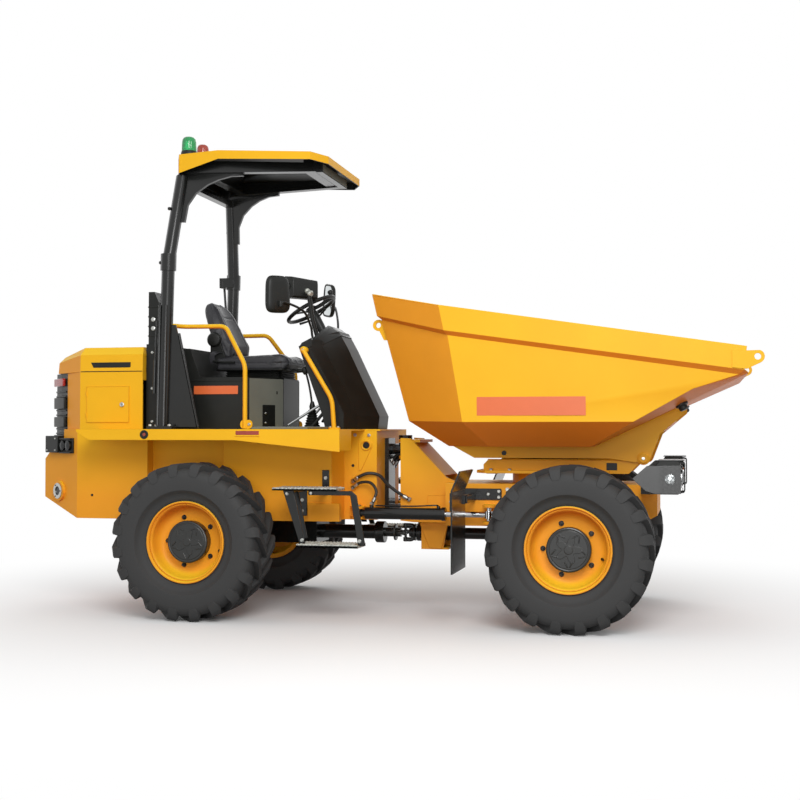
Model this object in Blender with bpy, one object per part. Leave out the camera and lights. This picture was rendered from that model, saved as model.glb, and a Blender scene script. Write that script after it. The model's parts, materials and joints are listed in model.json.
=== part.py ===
"""Site dumper with a swivel skip, hinged in the middle: an open canopied driver's deck and engine behind,
a turntable and tipping skip in front. Metres, +X forward, +Z up, origin under the middle of the bounding box.

Shapes are described in the axle frame: X from the rear axle, Y from the centre line, Z from the ground.
place() moves every object from there into the row frame.
"""

import math

import bmesh
import bpy

# Fits
GAP = 0.0003
PIN_CLEARANCE = 0.0009

# Running gear
WHEELBASE = 2.586
TRACK = 1.80
WHEEL_SEGMENTS = 24
TYRE_RADIUS = 0.5375
TYRE_WIDTH = 0.405
TYRE_BORE = 0.256
BEAD_HALF = 0.150
FLANGE_RADIUS = 0.280
HUB_RADIUS = 0.146
RIM_INNER = 0.243
DISC_Y = 0.020
HUB_Y = 0.125
SHAFT_Z = 0.548
PIVOT_X = WHEELBASE / 2
AXLE_TUBE_RADIUS = 0.072

# Rear chassis
REAR_X = -1.40
BODY_HALF = 0.65
ARCH_HALF = 0.55
SIDE_HALF = 0.60
NOSE_HALF = 0.34
NOSE_X = 1.16
PLATE = 0.012
FRAME_BOTTOM = 0.66
PAD_BOTTOM = 0.620
ENGINE_BOTTOM = 0.750
DECK_TOP = 1.305
DECK_SHEET = 0.012
DECK_HALF = 1.00
DECK_REAR = -0.84
DECK_FRONT = 1.07
SHELF_X = -1.17
SHELF_TOP = 1.175

# Engine housing and cover
HOUSING_FRONT = -0.50
HOUSING_TOP = 1.72
HOUSING_WALL = 0.010
COVER_TOP = 1.90
COVER_SHEET = 0.008
COVER_HINGE_X = -1.29
HATCH_SHEET = 0.006
HATCH_REAR = -0.937
HATCH_FRONT = -0.603
HATCH_LOW = 1.353
HATCH_HIGH = 1.616
GRILLE_REAR = -1.36
BULKHEAD_TOP = 1.92

# Canopy
POST_HALF = 0.66
POST_X = -0.335
POST_RADIUS = 0.046
ROOF_REAR = -0.325
ROOF_FRONT = 0.825
ROOF_HALF = 0.60
ROOF_SHEET = 0.008
CHANNEL_REAR = (-0.245, 0.475)
CHANNEL_FRONT = (0.750, 0.300)
CHANNEL_HALF = 0.035
CHANNEL_BOTTOM = 3.172

# Driver's place
CONSOLE_HALF = 0.42
SEAT_BOX_HALF = 0.50
SEAT_BOX_TOP = 1.68
HUMP_TOP = 1.89
SUSPENSION_TOP = 1.745
SEAT_HALF = 0.25
BACK_HALF = 0.215
RAIL_RADIUS = 0.016
DASH_POINT = (0.70, 0.0, 1.9588)
DASH_NORMAL = (-0.480, 0.0, 0.8773)
COLUMN_LENGTH = 0.262
STEERING_WHEEL_RADIUS = 0.19

# Front chassis
PIVOT_PIN = 0.028
PLATE_INNER = 0.215
PLATE_OUTER = 0.235
BEAM_HALF = 0.355
BEAM_TOP = 0.925
BEAM_BOTTOM = 0.63
BEAM_FRONT = 3.12

# Turntable, skip and tip ram
SWIVEL_X = 2.42
TIP_X = 3.03
TIP_Z = 1.106
TIP_PIN = 0.028
TABLE_BOTTOM = 1.000
TABLE_TOP = 1.020
CHEEK_INNER = 0.325
CHEEK_OUTER = 0.345
CHEEK_RADIUS = 0.042
LUG_INNER = 0.351
LUG_OUTER = 0.375
LUG_RADIUS = 0.044
SKIP_HALF = 0.95
SKIP_FLOOR = 1.187
SKIP_SHEET = 0.008
EYE_TIP_X = 3.797
RAM_BASE = (1.96, 1.03)
RAM_EYE = (2.75, 1.13)
RAM_BARREL = 0.60
RAM_RADIUS = 0.040
RAM_ROD = 0.020

# Steering rams
STEER_Y = 0.45
STEER_Z = 0.715
STEER_REAR_X = 1.05
STEER_FRONT_X = 1.985
STEER_BARREL = 0.628
STEER_RADIUS = 0.0425
STEER_ROD_RADIUS = 0.020
STEER_PIN = 0.018

SHIFT_X = (REAR_X + EYE_TIP_X) / 2
CENTRE = (0.0, 0.0, 0.0)
SIDES = {"right": -1, "left": 1}
SHARP_ANGLE = 35.0

# Edge of the roof from rear to front: x, y, top z, bottom z, then x and y of the raised middle
ROOF = [
    (ROOF_REAR, 0.430, 3.288, 3.152, -0.290, 0.36),
    (-0.260, 0.570, 3.295, 3.160, -0.235, 0.42),
    (0.050, ROOF_HALF, 3.305, 3.243, 0.050, 0.42),
    (0.740, ROOF_HALF, 3.262, 3.207, 0.700, 0.42),
    (ROOF_FRONT, 0.430, 3.257, 3.203, 0.780, 0.36),
]
# Height of the raised middle: x, z
CROWN = [(-0.290, 3.306), (-0.235, 3.310), (0.050, 3.325), (0.700, 3.285), (0.780, 3.279)]

COLOURS = {
    "body_yellow": (0.89, 0.47, 0.035),
    "black_paint": (0.022, 0.022, 0.023),
    "dark_plastic": (0.040, 0.040, 0.042),
    "grey_plastic": (0.13, 0.13, 0.12),
    "tyre_rubber": (0.030, 0.030, 0.031),
    "galvanised": (0.45, 0.46, 0.47),
    "chromed_steel": (0.55, 0.55, 0.56),
    "seat_vinyl": (0.025, 0.025, 0.027),
    "green_lens": (0.02, 0.30, 0.08),
    "amber_lens": (0.45, 0.06, 0.02),
    "cast_iron": (0.06, 0.06, 0.06),
}
materials = {}


def clear_scene():
    for obj in list(bpy.data.objects):
        bpy.data.objects.remove(obj, do_unlink=True)
    bpy.context.scene.unit_settings.scale_length = 1.0


def material(name):
    if name not in materials:
        made = bpy.data.materials.new(name)
        made.use_nodes = True
        shader = made.node_tree.nodes["Principled BSDF"]
        shader.inputs["Base Color"].default_value = (*COLOURS[name], 1.0)
        shader.inputs["Roughness"].default_value = 0.5
        materials[name] = made
    return materials[name]


def mirrored(half):
    """A plan outline from its half with Y above zero, listed from rear to front."""
    return list(half) + [(x, -y) for x, y in reversed(half)]


def signed_area(outline):
    area = 0.0
    for (x0, y0), (x1, y1) in zip(outline, outline[1:] + outline[:1]):
        area += x0 * y1 - x1 * y0
    return area / 2


def inset(outline, distance):
    """The outline moved inwards by distance, corner by corner."""
    turn = 1 if signed_area(outline) > 0 else -1
    moved = []
    count = len(outline)
    for i in range(count):
        before, here, after = outline[i - 1], outline[i], outline[(i + 1) % count]
        ax, ay = here[0] - before[0], here[1] - before[1]
        bx, by = after[0] - here[0], after[1] - here[1]
        la, lb = math.hypot(ax, ay), math.hypot(bx, by)
        nax, nay = -ay / la * turn, ax / la * turn
        nbx, nby = -by / lb * turn, bx / lb * turn
        share = 1 + nax * nbx + nay * nby
        moved.append((here[0] + distance * (nax + nbx) / share, here[1] + distance * (nay + nby) / share))
    return moved


def arc(centre, radius, start, end, steps):
    """Points on a circle, in degrees from start to end."""
    angles = [math.radians(start + (end - start) * i / steps) for i in range(steps + 1)]
    return [(centre[0] + radius * math.cos(a), centre[1] + radius * math.sin(a)) for a in angles]


def solid(points, faces):
    """A closed mesh with its faces turned outwards."""
    mesh = bpy.data.meshes.new("solid")
    mesh.from_pydata([tuple(p) for p in points], [], faces)
    build = bmesh.new()
    build.from_mesh(mesh)
    bmesh.ops.recalc_face_normals(build, faces=build.faces)
    build.to_mesh(mesh)
    build.free()
    return mesh


def extrude(outline, low, high, order):
    """A prism. order puts each (u, v, along) into X, Y, Z."""
    count = len(outline)
    raw = [(u, v, low) for u, v in outline] + [(u, v, high) for u, v in outline]
    points = [tuple(p[i] for i in order) for p in raw]
    faces = [list(range(count)), list(range(count, 2 * count))]
    faces += [[i, (i + 1) % count, (i + 1) % count + count, i + count] for i in range(count)]
    return solid(points, faces)


def plan(outline, low, high):
    """Outline in X and Y, from Z low to Z high."""
    return extrude(outline, low, high, (0, 1, 2))


def side(outline, low, high):
    """Outline in X and Z, from Y low to Y high."""
    return extrude(outline, low, high, (0, 2, 1))


def box(x0, x1, y0, y1, z0, z1):
    return plan([(x0, y0), (x1, y0), (x1, y1), (x0, y1)], z0, z1)


def frame_of(direction):
    """Two unit vectors square to direction."""
    length = math.sqrt(sum(c * c for c in direction))
    d = tuple(c / length for c in direction)
    helper = (0.0, 0.0, 1.0) if abs(d[2]) < 0.9 else (0.0, 1.0, 0.0)
    u = (helper[1] * d[2] - helper[2] * d[1], helper[2] * d[0] - helper[0] * d[2], helper[0] * d[1] - helper[1] * d[0])
    size = math.sqrt(sum(c * c for c in u))
    u = tuple(c / size for c in u)
    v = (d[1] * u[2] - d[2] * u[1], d[2] * u[0] - d[0] * u[2], d[0] * u[1] - d[1] * u[0])
    return d, u, v


def sweep(path, radius, segments=8, flat=1.0, phase=0.5):
    """A round bar along a path, mitred at each bend. flat scales its second direction."""
    rings = []
    for i, here in enumerate(path):
        back = path[max(i - 1, 0)]
        ahead = path[min(i + 1, len(path) - 1)]
        into = [b - a for a, b in zip(back, here)] if i else [b - a for a, b in zip(here, ahead)]
        out = [b - a for a, b in zip(here, ahead)] if i < len(path) - 1 else into
        li = math.sqrt(sum(c * c for c in into))
        lo = math.sqrt(sum(c * c for c in out))
        mean = [a / li + b / lo for a, b in zip(into, out)]
        d, u, v = frame_of(mean)
        di = [c / li for c in into]
        stretch = 1 / max(0.3, sum(a * b for a, b in zip(d, di)))
        bend = [a / li - b / lo for a, b in zip(into, out)]
        bl = math.sqrt(sum(c * c for c in bend))
        ring = []
        for k in range(segments):
            angle = 2 * math.pi * (k + phase) / segments
            offset = [radius * (math.cos(angle) * a * flat + math.sin(angle) * b) for a, b in zip(u, v)]
            if bl > 1e-6:
                e = [c / bl for c in bend]
                along = sum(a * b for a, b in zip(offset, e))
                offset = [o + (stretch - 1) * along * c for o, c in zip(offset, e)]
            ring.append(tuple(h + o for h, o in zip(here, offset)))
        rings.append(ring)
    return loft(rings)


def loft(rings):
    """Closed rings joined in order, with both ends capped."""
    count = len(rings[0])
    points = [p for ring in rings for p in ring]
    faces = [list(range(count)), list(range(len(points) - count, len(points)))]
    for r in range(len(rings) - 1):
        a, b = r * count, (r + 1) * count
        faces += [[a + i, a + (i + 1) % count, b + (i + 1) % count, b + i] for i in range(count)]
    return solid(points, faces)


def bar(start, end, radius, segments=12, phase=0.5):
    return sweep([start, end], radius, segments, 1.0, phase)


def rounded(path, radius, steps=3):
    """The path with its corners replaced by arcs of about this radius."""
    out = [path[0]]
    for before, here, after in zip(path, path[1:], path[2:]):
        la, lb = math.dist(before, here), math.dist(here, after)
        cut = min(radius, 0.45 * la, 0.45 * lb)
        start = [h + (b - h) * cut / la for h, b in zip(here, before)]
        end = [h + (a - h) * cut / lb for h, a in zip(here, after)]
        for i in range(steps + 1):
            t = i / steps
            out.append(tuple((1 - t) ** 2 * s + 2 * t * (1 - t) * h + t * t * e for s, h, e in zip(start, here, end)))
    out.append(path[-1])
    return out


def lathe(profile, centre, outward, segments=WHEEL_SEGMENTS, upright=False):
    """A ring or a solid turned about the Y axis through centre, or about Z if upright. profile holds
    (radius, distance outwards)."""
    points, rows = [], []
    for radius, out in profile:
        count = 1 if radius < 1e-9 else segments
        rows.append([len(points) + (k if count > 1 else 0) for k in range(segments)])
        for k in range(count):
            angle = 2 * math.pi * k / segments
            u, v = radius * math.cos(angle), radius * math.sin(angle)
            offset = (u, v, outward * out) if upright else (u, outward * out, v)
            points.append(tuple(c + o for c, o in zip(centre, offset)))
    closed = profile[0][0] > 1e-9
    pairs = list(zip(rows, rows[1:])) + ([(rows[-1], rows[0])] if closed else [])
    faces = []
    for a, b in pairs:
        for k in range(segments):
            face = [a[k], a[(k + 1) % segments], b[(k + 1) % segments], b[k]]
            faces.append([f for n, f in enumerate(face) if f not in face[:n]])
    return solid(points, faces)


def place(mesh, name, origin):
    """An object in the row frame with its origin at a point of the axle frame."""
    for vertex in mesh.vertices:
        vertex.co = [c - o for c, o in zip(vertex.co, origin)]
    obj = bpy.data.objects.new(name, mesh)
    obj.location = (origin[0] - SHIFT_X, origin[1], origin[2])
    bpy.context.scene.collection.objects.link(obj)
    return obj


def helper(mesh, name, origin):
    obj = place(mesh, name, origin)
    obj.hide_render = True
    obj.display_type = "WIRE"
    return obj


def boolean(obj, other, operation):
    modifier = obj.modifiers.new(operation.lower(), "BOOLEAN")
    modifier.operation = operation
    modifier.solver = "EXACT"
    modifier.object = other


def join(*others):
    return [("UNION", other) for other in others]


def cut(*others):
    return [("DIFFERENCE", other) for other in others]


def keep(*others):
    return [("INTERSECT", other) for other in others]


def node(name, slot, base, steps=(), origin=CENTRE, smooth=False):
    """One sub-part: base, then joins, cuts and keeps in the order given."""
    base.materials.append(material(slot))
    if smooth:
        soften(base)
    obj = place(base, name, origin)
    for i, (operation, other) in enumerate(steps):
        if not isinstance(other, bpy.types.Object):
            if smooth:
                soften(other)
            other = helper(other, f"{name}_{operation.lower()}_{i}", origin)
        boolean(obj, other, operation)
    return obj


def soften(mesh):
    """Smooth shading that keeps the edges sharper than the limit."""
    for face in mesh.polygons:
        face.use_smooth = True
    mesh.set_sharp_from_angle(angle=math.radians(SHARP_ANGLE))


def sheet(name, slot, half, faces, crossings, thickness, inside, steps=(), origin=CENTRE):
    """A pressed panel, symmetric about Y. half names the points with Y above zero. faces lie on that side
    and are mirrored. Each crossing is a row of points joined to its mirror image. The skin is thickened
    towards inside."""
    index = {key: i for i, key in enumerate(half)}
    count = len(half)
    points = list(half.values()) + [(x, -y, z) for x, y, z in half.values()]
    loops = []
    for face in faces:
        row = [index[key] for key in face.split()]
        loops += [row, [i + count for i in row]]
    for crossing in crossings:
        row = [index[key] for key in crossing.split()]
        loops.append(row + [i + count for i in reversed(row)])
    mesh = outward(points, loops, inside)
    mesh.materials.append(material(slot))
    obj = place(mesh, name, origin)
    skin = obj.modifiers.new("thickness", "SOLIDIFY")
    skin.thickness = thickness
    skin.offset = -1.0
    skin.use_even_offset = True
    for i, (operation, other) in enumerate(steps):
        if not isinstance(other, bpy.types.Object):
            other = helper(other, f"{name}_{operation.lower()}_{i}", origin)
        boolean(obj, other, operation)
    return obj


def outward(points, loops, inside):
    """An open skin with its faces turned away from inside."""
    mesh = bpy.data.meshes.new("skin")
    mesh.from_pydata(points, [], loops)
    build = bmesh.new()
    build.from_mesh(mesh)
    bmesh.ops.recalc_face_normals(build, faces=build.faces)
    facing = 0.0
    for face in build.faces:
        reach = [c - o for c, o in zip(face.calc_center_median(), inside)]
        facing += face.calc_area() * sum(n * r for n, r in zip(face.normal, reach))
    if facing < 0:
        bmesh.ops.reverse_faces(build, faces=build.faces)
    build.to_mesh(mesh)
    build.free()
    return mesh


def torus(centre, axis, major, minor, around=24, across=6):
    d, u, v = frame_of(axis)
    points = []
    for i in range(around):
        a = 2 * math.pi * i / around
        spoke = [math.cos(a) * p + math.sin(a) * q for p, q in zip(u, v)]
        for k in range(across):
            b = 2 * math.pi * k / across
            out, up = major + minor * math.cos(b), minor * math.sin(b)
            points.append(tuple(c + out * s + up * w for c, s, w in zip(centre, spoke, d)))
    faces = []
    for i in range(around):
        for k in range(across):
            n, m = (i + 1) % around, (k + 1) % across
            faces.append([i * across + k, n * across + k, n * across + m, i * across + m])
    return solid(points, faces)


def along(start, direction, distance):
    return tuple(s + distance * d for s, d in zip(start, direction))


def wheels():
    tyre = [
        (TYRE_BORE, BEAD_HALF),
        (TYRE_BORE + 0.029, BEAD_HALF),
        (0.355, TYRE_WIDTH / 2),
        (0.455, TYRE_WIDTH / 2),
        (0.510, 0.190),
        (TYRE_RADIUS, 0.160),
    ]
    tyre = tyre + [(r, -y) for r, y in reversed(tyre)]
    seat = TYRE_BORE - GAP
    bead = BEAD_HALF + GAP
    rim = [
        (0.0, DISC_Y),
        (0.205, DISC_Y),
        (RIM_INNER, -0.020),
        (RIM_INNER, -0.165),
        (FLANGE_RADIUS, -0.165),
        (FLANGE_RADIUS, -bead),
        (seat, -bead),
        (seat, bead),
        (FLANGE_RADIUS, bead),
        (FLANGE_RADIUS, 0.165),
        (RIM_INNER, 0.140),
        (0.225, 0.045),
        (HUB_RADIUS, 0.040),
        (HUB_RADIUS, HUB_Y - 0.010),
        (HUB_RADIUS - 0.012, HUB_Y),
        (0.0, HUB_Y),
    ]
    for end, x in (("rear", 0.0), ("front", WHEELBASE)):
        for name, s in SIDES.items():
            centre = (x, s * TRACK / 2, TYRE_RADIUS)
            node(f"tyre_{end}_{name}", "tyre_rubber", lathe(tyre, centre, s), origin=centre, smooth=True)
            node(f"wheel_{end}_{name}", "body_yellow", lathe(rim, centre, s), origin=centre, smooth=True)


def axles():
    end = TRACK / 2 + DISC_Y - GAP
    half = [
        (0.0, end),
        (0.125, end),
        (0.130, 0.700),
        (0.085, 0.670),
        (AXLE_TUBE_RADIUS, 0.660),
        (AXLE_TUBE_RADIUS, 0.180),
        (0.150, 0.110),
        (0.168, 0.050),
    ]
    profile = half + [(r, -y) for r, y in reversed(half)]
    yoke = 0.031
    rear_parts = [
        bar((0.10, 0, SHAFT_Z), (0.30, 0, SHAFT_Z), 0.045),
        box(0.26, 0.66, -0.16, 0.16, 0.470, 0.640),
        bar((0.60, 0, SHAFT_Z), (1.10, 0, SHAFT_Z), 0.052),
        bar((1.08, 0, SHAFT_Z), (1.14, 0, SHAFT_Z), 0.080),
        bar((1.12, 0, SHAFT_Z), (PIVOT_X - yoke, 0, SHAFT_Z), 0.034),
    ]
    front_parts = [
        bar((PIVOT_X + yoke, 0, SHAFT_Z), (1.42, 0, SHAFT_Z), 0.034),
        bar((1.40, 0, SHAFT_Z), (2.46, 0, SHAFT_Z), 0.042),
        bar((1.385, 0, SHAFT_Z), (1.415, 0, SHAFT_Z), 0.062),
    ]
    for s in SIDES.values():
        rear_parts.append(box(-0.08, 0.08, s * 0.49 - 0.04, s * 0.49 + 0.04, TYRE_RADIUS, PAD_BOTTOM - GAP))
        x0, x1 = WHEELBASE - 0.09, WHEELBASE + 0.09
        front_parts.append(box(x0, x1, s * 0.35 - 0.05, s * 0.35 + 0.05, TYRE_RADIUS, BEAM_BOTTOM - GAP))
    for name, x, parts in (("rear_axle", 0.0, rear_parts), ("front_axle", WHEELBASE, front_parts)):
        node(name, "black_paint", lathe(profile, (x, 0, TYRE_RADIUS), 1, 16), join(*parts), smooth=True)


def rear_frame():
    outline = mirrored([
        (REAR_X, 0.40),
        (-1.01, BODY_HALF),
        (-0.46, BODY_HALF),
        (-0.46, ARCH_HALF),
        (0.10, ARCH_HALF),
        (0.10, SIDE_HALF),
        (0.90, SIDE_HALF),
        (0.92, NOSE_HALF),
        (NOSE_X, NOSE_HALF),
    ])
    top = DECK_TOP - DECK_SHEET - GAP
    outer = [
        (REAR_X - 0.1, 0.836),
        (-1.01, FRAME_BOTTOM),
        (NOSE_X + 0.1, FRAME_BOTTOM),
        (NOSE_X + 0.1, top),
        (SHELF_X, top),
        (SHELF_X, SHELF_TOP),
        (-1.30, SHELF_TOP),
        (REAR_X - 0.1, 0.995),
    ]
    inner = [
        (REAR_X - 0.1, 0.836 + 1.07 * PLATE),
        (-1.01, FRAME_BOTTOM + PLATE),
        (-0.50, FRAME_BOTTOM + PLATE),
        (-0.50, 0.30),
        (NOSE_X + 0.2, 0.30),
        (NOSE_X + 0.2, top + 0.1),
        (SHELF_X + PLATE, top + 0.1),
        (SHELF_X + PLATE, SHELF_TOP - PLATE),
        (-1.30, SHELF_TOP - PLATE),
        (REAR_X - 0.1, 0.995 - 1.35 * PLATE),
    ]
    bay = helper(plan(inset(outline, PLATE), 0.4, 1.5), "rear_frame_bay", CENTRE)
    boolean(bay, helper(side(inner, -1, 1), "rear_frame_bay_profile", CENTRE), "INTERSECT")
    in_wall = PLATE / 2
    adds = [
        box(-0.90, -0.80, -BODY_HALF + in_wall, BODY_HALF - in_wall, 0.664, ENGINE_BOTTOM - GAP),
        box(-0.68, -0.58, -BODY_HALF + in_wall, BODY_HALF - in_wall, 0.664, ENGINE_BOTTOM - GAP),
        box(0.56, 0.66, -SIDE_HALF + in_wall, SIDE_HALF - in_wall, 0.664, 0.740),
        box(0.45, 0.55, -SIDE_HALF + in_wall, SIDE_HALF - in_wall, 1.180, 1.260),
    ]
    holes = []
    for s in SIDES.values():
        adds.append(box(-0.12, 0.12, s * 0.495 - 0.05, s * 0.495 + 0.05, PAD_BOTTOM, 0.700))
        adds.append(box(0.735, 0.965, s * 0.605 - 0.025, s * 0.605 + 0.025, 0.664, 0.785))
        for z0, z1 in ((STEER_Z - 0.042, STEER_Z - 0.030), (STEER_Z + 0.030, STEER_Z + 0.042)):
            ear = [(STEER_REAR_X - 0.090, s * 0.334), (STEER_REAR_X + 0.030, s * 0.334)]
            ear += arc((STEER_REAR_X, s * STEER_Y), 0.040, 0, s * 180, 6)
            adds.append(plan(ear, z0, z1))
        low, high = STEER_Z - 0.047, STEER_Z + 0.049
        adds.append(bar((STEER_REAR_X, s * STEER_Y, low), (STEER_REAR_X, s * STEER_Y, high), STEER_PIN))
        port = (-1.215, s * 0.5186, 0.850)
        away = (-0.5397, s * 0.8418, 0.0)
        adds.append(bar(along(port, away, -0.006), along(port, away, 0.018), 0.075, 16))
        holes.append(bar(along(port, away, -0.050), along(port, away, 0.050), 0.040, 12))
    body = plan(outline, 0.5, 1.4)
    node("rear_frame", "body_yellow", body, keep(side(outer, -1, 1)) + cut(bay) + join(*adds) + cut(*holes))


def deck():
    low = DECK_TOP - DECK_SHEET
    outline = mirrored([
        (SHELF_X, 0.545),
        (-1.01, BODY_HALF - 0.002),
        (DECK_REAR, BODY_HALF - 0.002),
        (DECK_REAR, DECK_HALF),
        (DECK_FRONT, DECK_HALF),
        (DECK_FRONT, NOSE_HALF),
        (1.185, NOSE_HALF),
    ])
    skirt = [
        (DECK_REAR, 1.288),
        (-0.745, 1.230),
        (0.33, 1.230),
        (DECK_FRONT, 1.153),
        (DECK_FRONT, DECK_TOP - 0.002),
        (DECK_REAR, DECK_TOP - 0.002),
    ]
    adds = []
    for s in SIDES.values():
        y0, y1 = sorted((s * DECK_HALF, s * (DECK_HALF - DECK_SHEET)))
        adds.append(side(skirt, y0, y1))
        y0, y1 = sorted((s * (DECK_HALF - 0.002), s * (SIDE_HALF + 0.10)))
        adds.append(box(DECK_FRONT - DECK_SHEET, DECK_FRONT, y0, y1, 1.160, DECK_TOP - 0.002))
    engine_hole = box(-1.12, -0.36, -0.52, 0.52, 1.2, 1.4)
    node("deck", "body_yellow", plan(outline, low, DECK_TOP), join(*adds) + cut(engine_hole))


def engine():
    node("engine_block", "cast_iron", box(-1.05, -0.52, -0.30, 0.30, ENGINE_BOTTOM, 1.600))
    floor = DECK_TOP + GAP
    top = HOUSING_TOP - GAP
    walls = mirrored([(SHELF_X, 0.494), (-0.99, BODY_HALF), (HOUSING_FRONT, BODY_HALF)])
    inner = inset(mirrored([(-1.27, 0.40), (-0.99, BODY_HALF), (HOUSING_FRONT + 0.1, BODY_HALF)]), HOUSING_WALL)
    adds = [
        box(HOUSING_FRONT - 0.03, HOUSING_FRONT, -BODY_HALF + 0.004, BODY_HALF - 0.004, 1.66, top),
        box(SHELF_X, SHELF_X + 0.03, -0.49, 0.49, 1.66, top),
    ]
    holes = []
    for s in SIDES.values():
        y0, y1 = sorted((s * (BODY_HALF - 0.05), s * (BODY_HALF + 0.05)))
        holes.append(box(HATCH_REAR + 0.020, HATCH_FRONT - 0.020, y0, y1, HATCH_LOW + 0.020, HATCH_HIGH - 0.020))
    steps = cut(plan(inner, 1.0, 2.0)) + join(*adds) + cut(*holes)
    node("engine_housing", "body_yellow", plan(walls, floor, top), steps)
    for name, s in SIDES.items():
        y0, y1 = sorted((s * (BODY_HALF + GAP), s * (BODY_HALF + GAP + HATCH_SHEET)))
        hinge = (HATCH_REAR, s * (BODY_HALF + GAP + HATCH_SHEET), (HATCH_LOW + HATCH_HIGH) / 2)
        panel = box(HATCH_REAR, HATCH_FRONT, y0, y1, HATCH_LOW, HATCH_HIGH)
        lock_y = s * (BODY_HALF + HATCH_SHEET)
        lock = bar((-0.654, lock_y, 1.483), (-0.654, lock_y + s * 0.008, 1.483), 0.014, 12)
        node(f"side_hatch_{name}", "body_yellow", panel, join(lock), origin=hinge)

    grille_plan = mirrored([(GRILLE_REAR, 0.30), (-1.27, 0.40), (SHELF_X - GAP, 0.494)])
    hollow = inset(mirrored([(GRILLE_REAR, 0.30), (-1.27, 0.40), (-1.05, 0.607)]), HOUSING_WALL)
    cuts = [plan(hollow, 1.0, 1.709), box(-1.262, -1.0, -0.39, 0.39, 1.65, 1.8)]
    for i in range(5):
        z = 1.235 + 0.078 * i
        cuts.append(box(-1.40, -1.33, -0.26, 0.26, z, z + 0.040))
    node("rear_grille", "dark_plastic", plan(grille_plan, SHELF_TOP + GAP, top), cut(*cuts))

    seam = HOUSING_TOP + 0.0005
    half = {
        "low_front": (HOUSING_FRONT, BODY_HALF, seam),
        "low_mid": (-0.99, BODY_HALF, seam),
        "low_rear": (COVER_HINGE_X, 0.41, seam),
        "mid_front": (HOUSING_FRONT, 0.645, 1.845),
        "mid_mid": (-0.99, 0.645, 1.845),
        "mid_rear": (-1.285, 0.407, 1.800),
        "top_front": (-0.515, 0.600, COVER_TOP),
        "top_mid": (-0.975, 0.600, COVER_TOP),
        "top_rear": (-1.245, 0.385, 1.845),
    }
    faces, crossings = [], ["top_front top_mid", "top_mid top_rear"]
    for low, high in (("low", "mid"), ("mid", "top")):
        faces += [f"{low}_front {low}_mid {high}_mid {high}_front", f"{low}_mid {low}_rear {high}_rear {high}_mid"]
        crossings += [f"{low}_front {high}_front", f"{low}_rear {high}_rear"]
    hinge = (COVER_HINGE_X, 0.0, HOUSING_TOP)
    sheet("engine_cover", "body_yellow", half, faces, crossings, COVER_SHEET, (-0.9, 0, 1.72), origin=hinge)


def channel_y(x):
    """Distance of a roof channel's middle from the centre line at x: the two run closer together to the front."""
    (x0, y0), (x1, y1) = CHANNEL_REAR, CHANNEL_FRONT
    return y0 + (y1 - y0) * (x - x0) / (x1 - x0)


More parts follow.
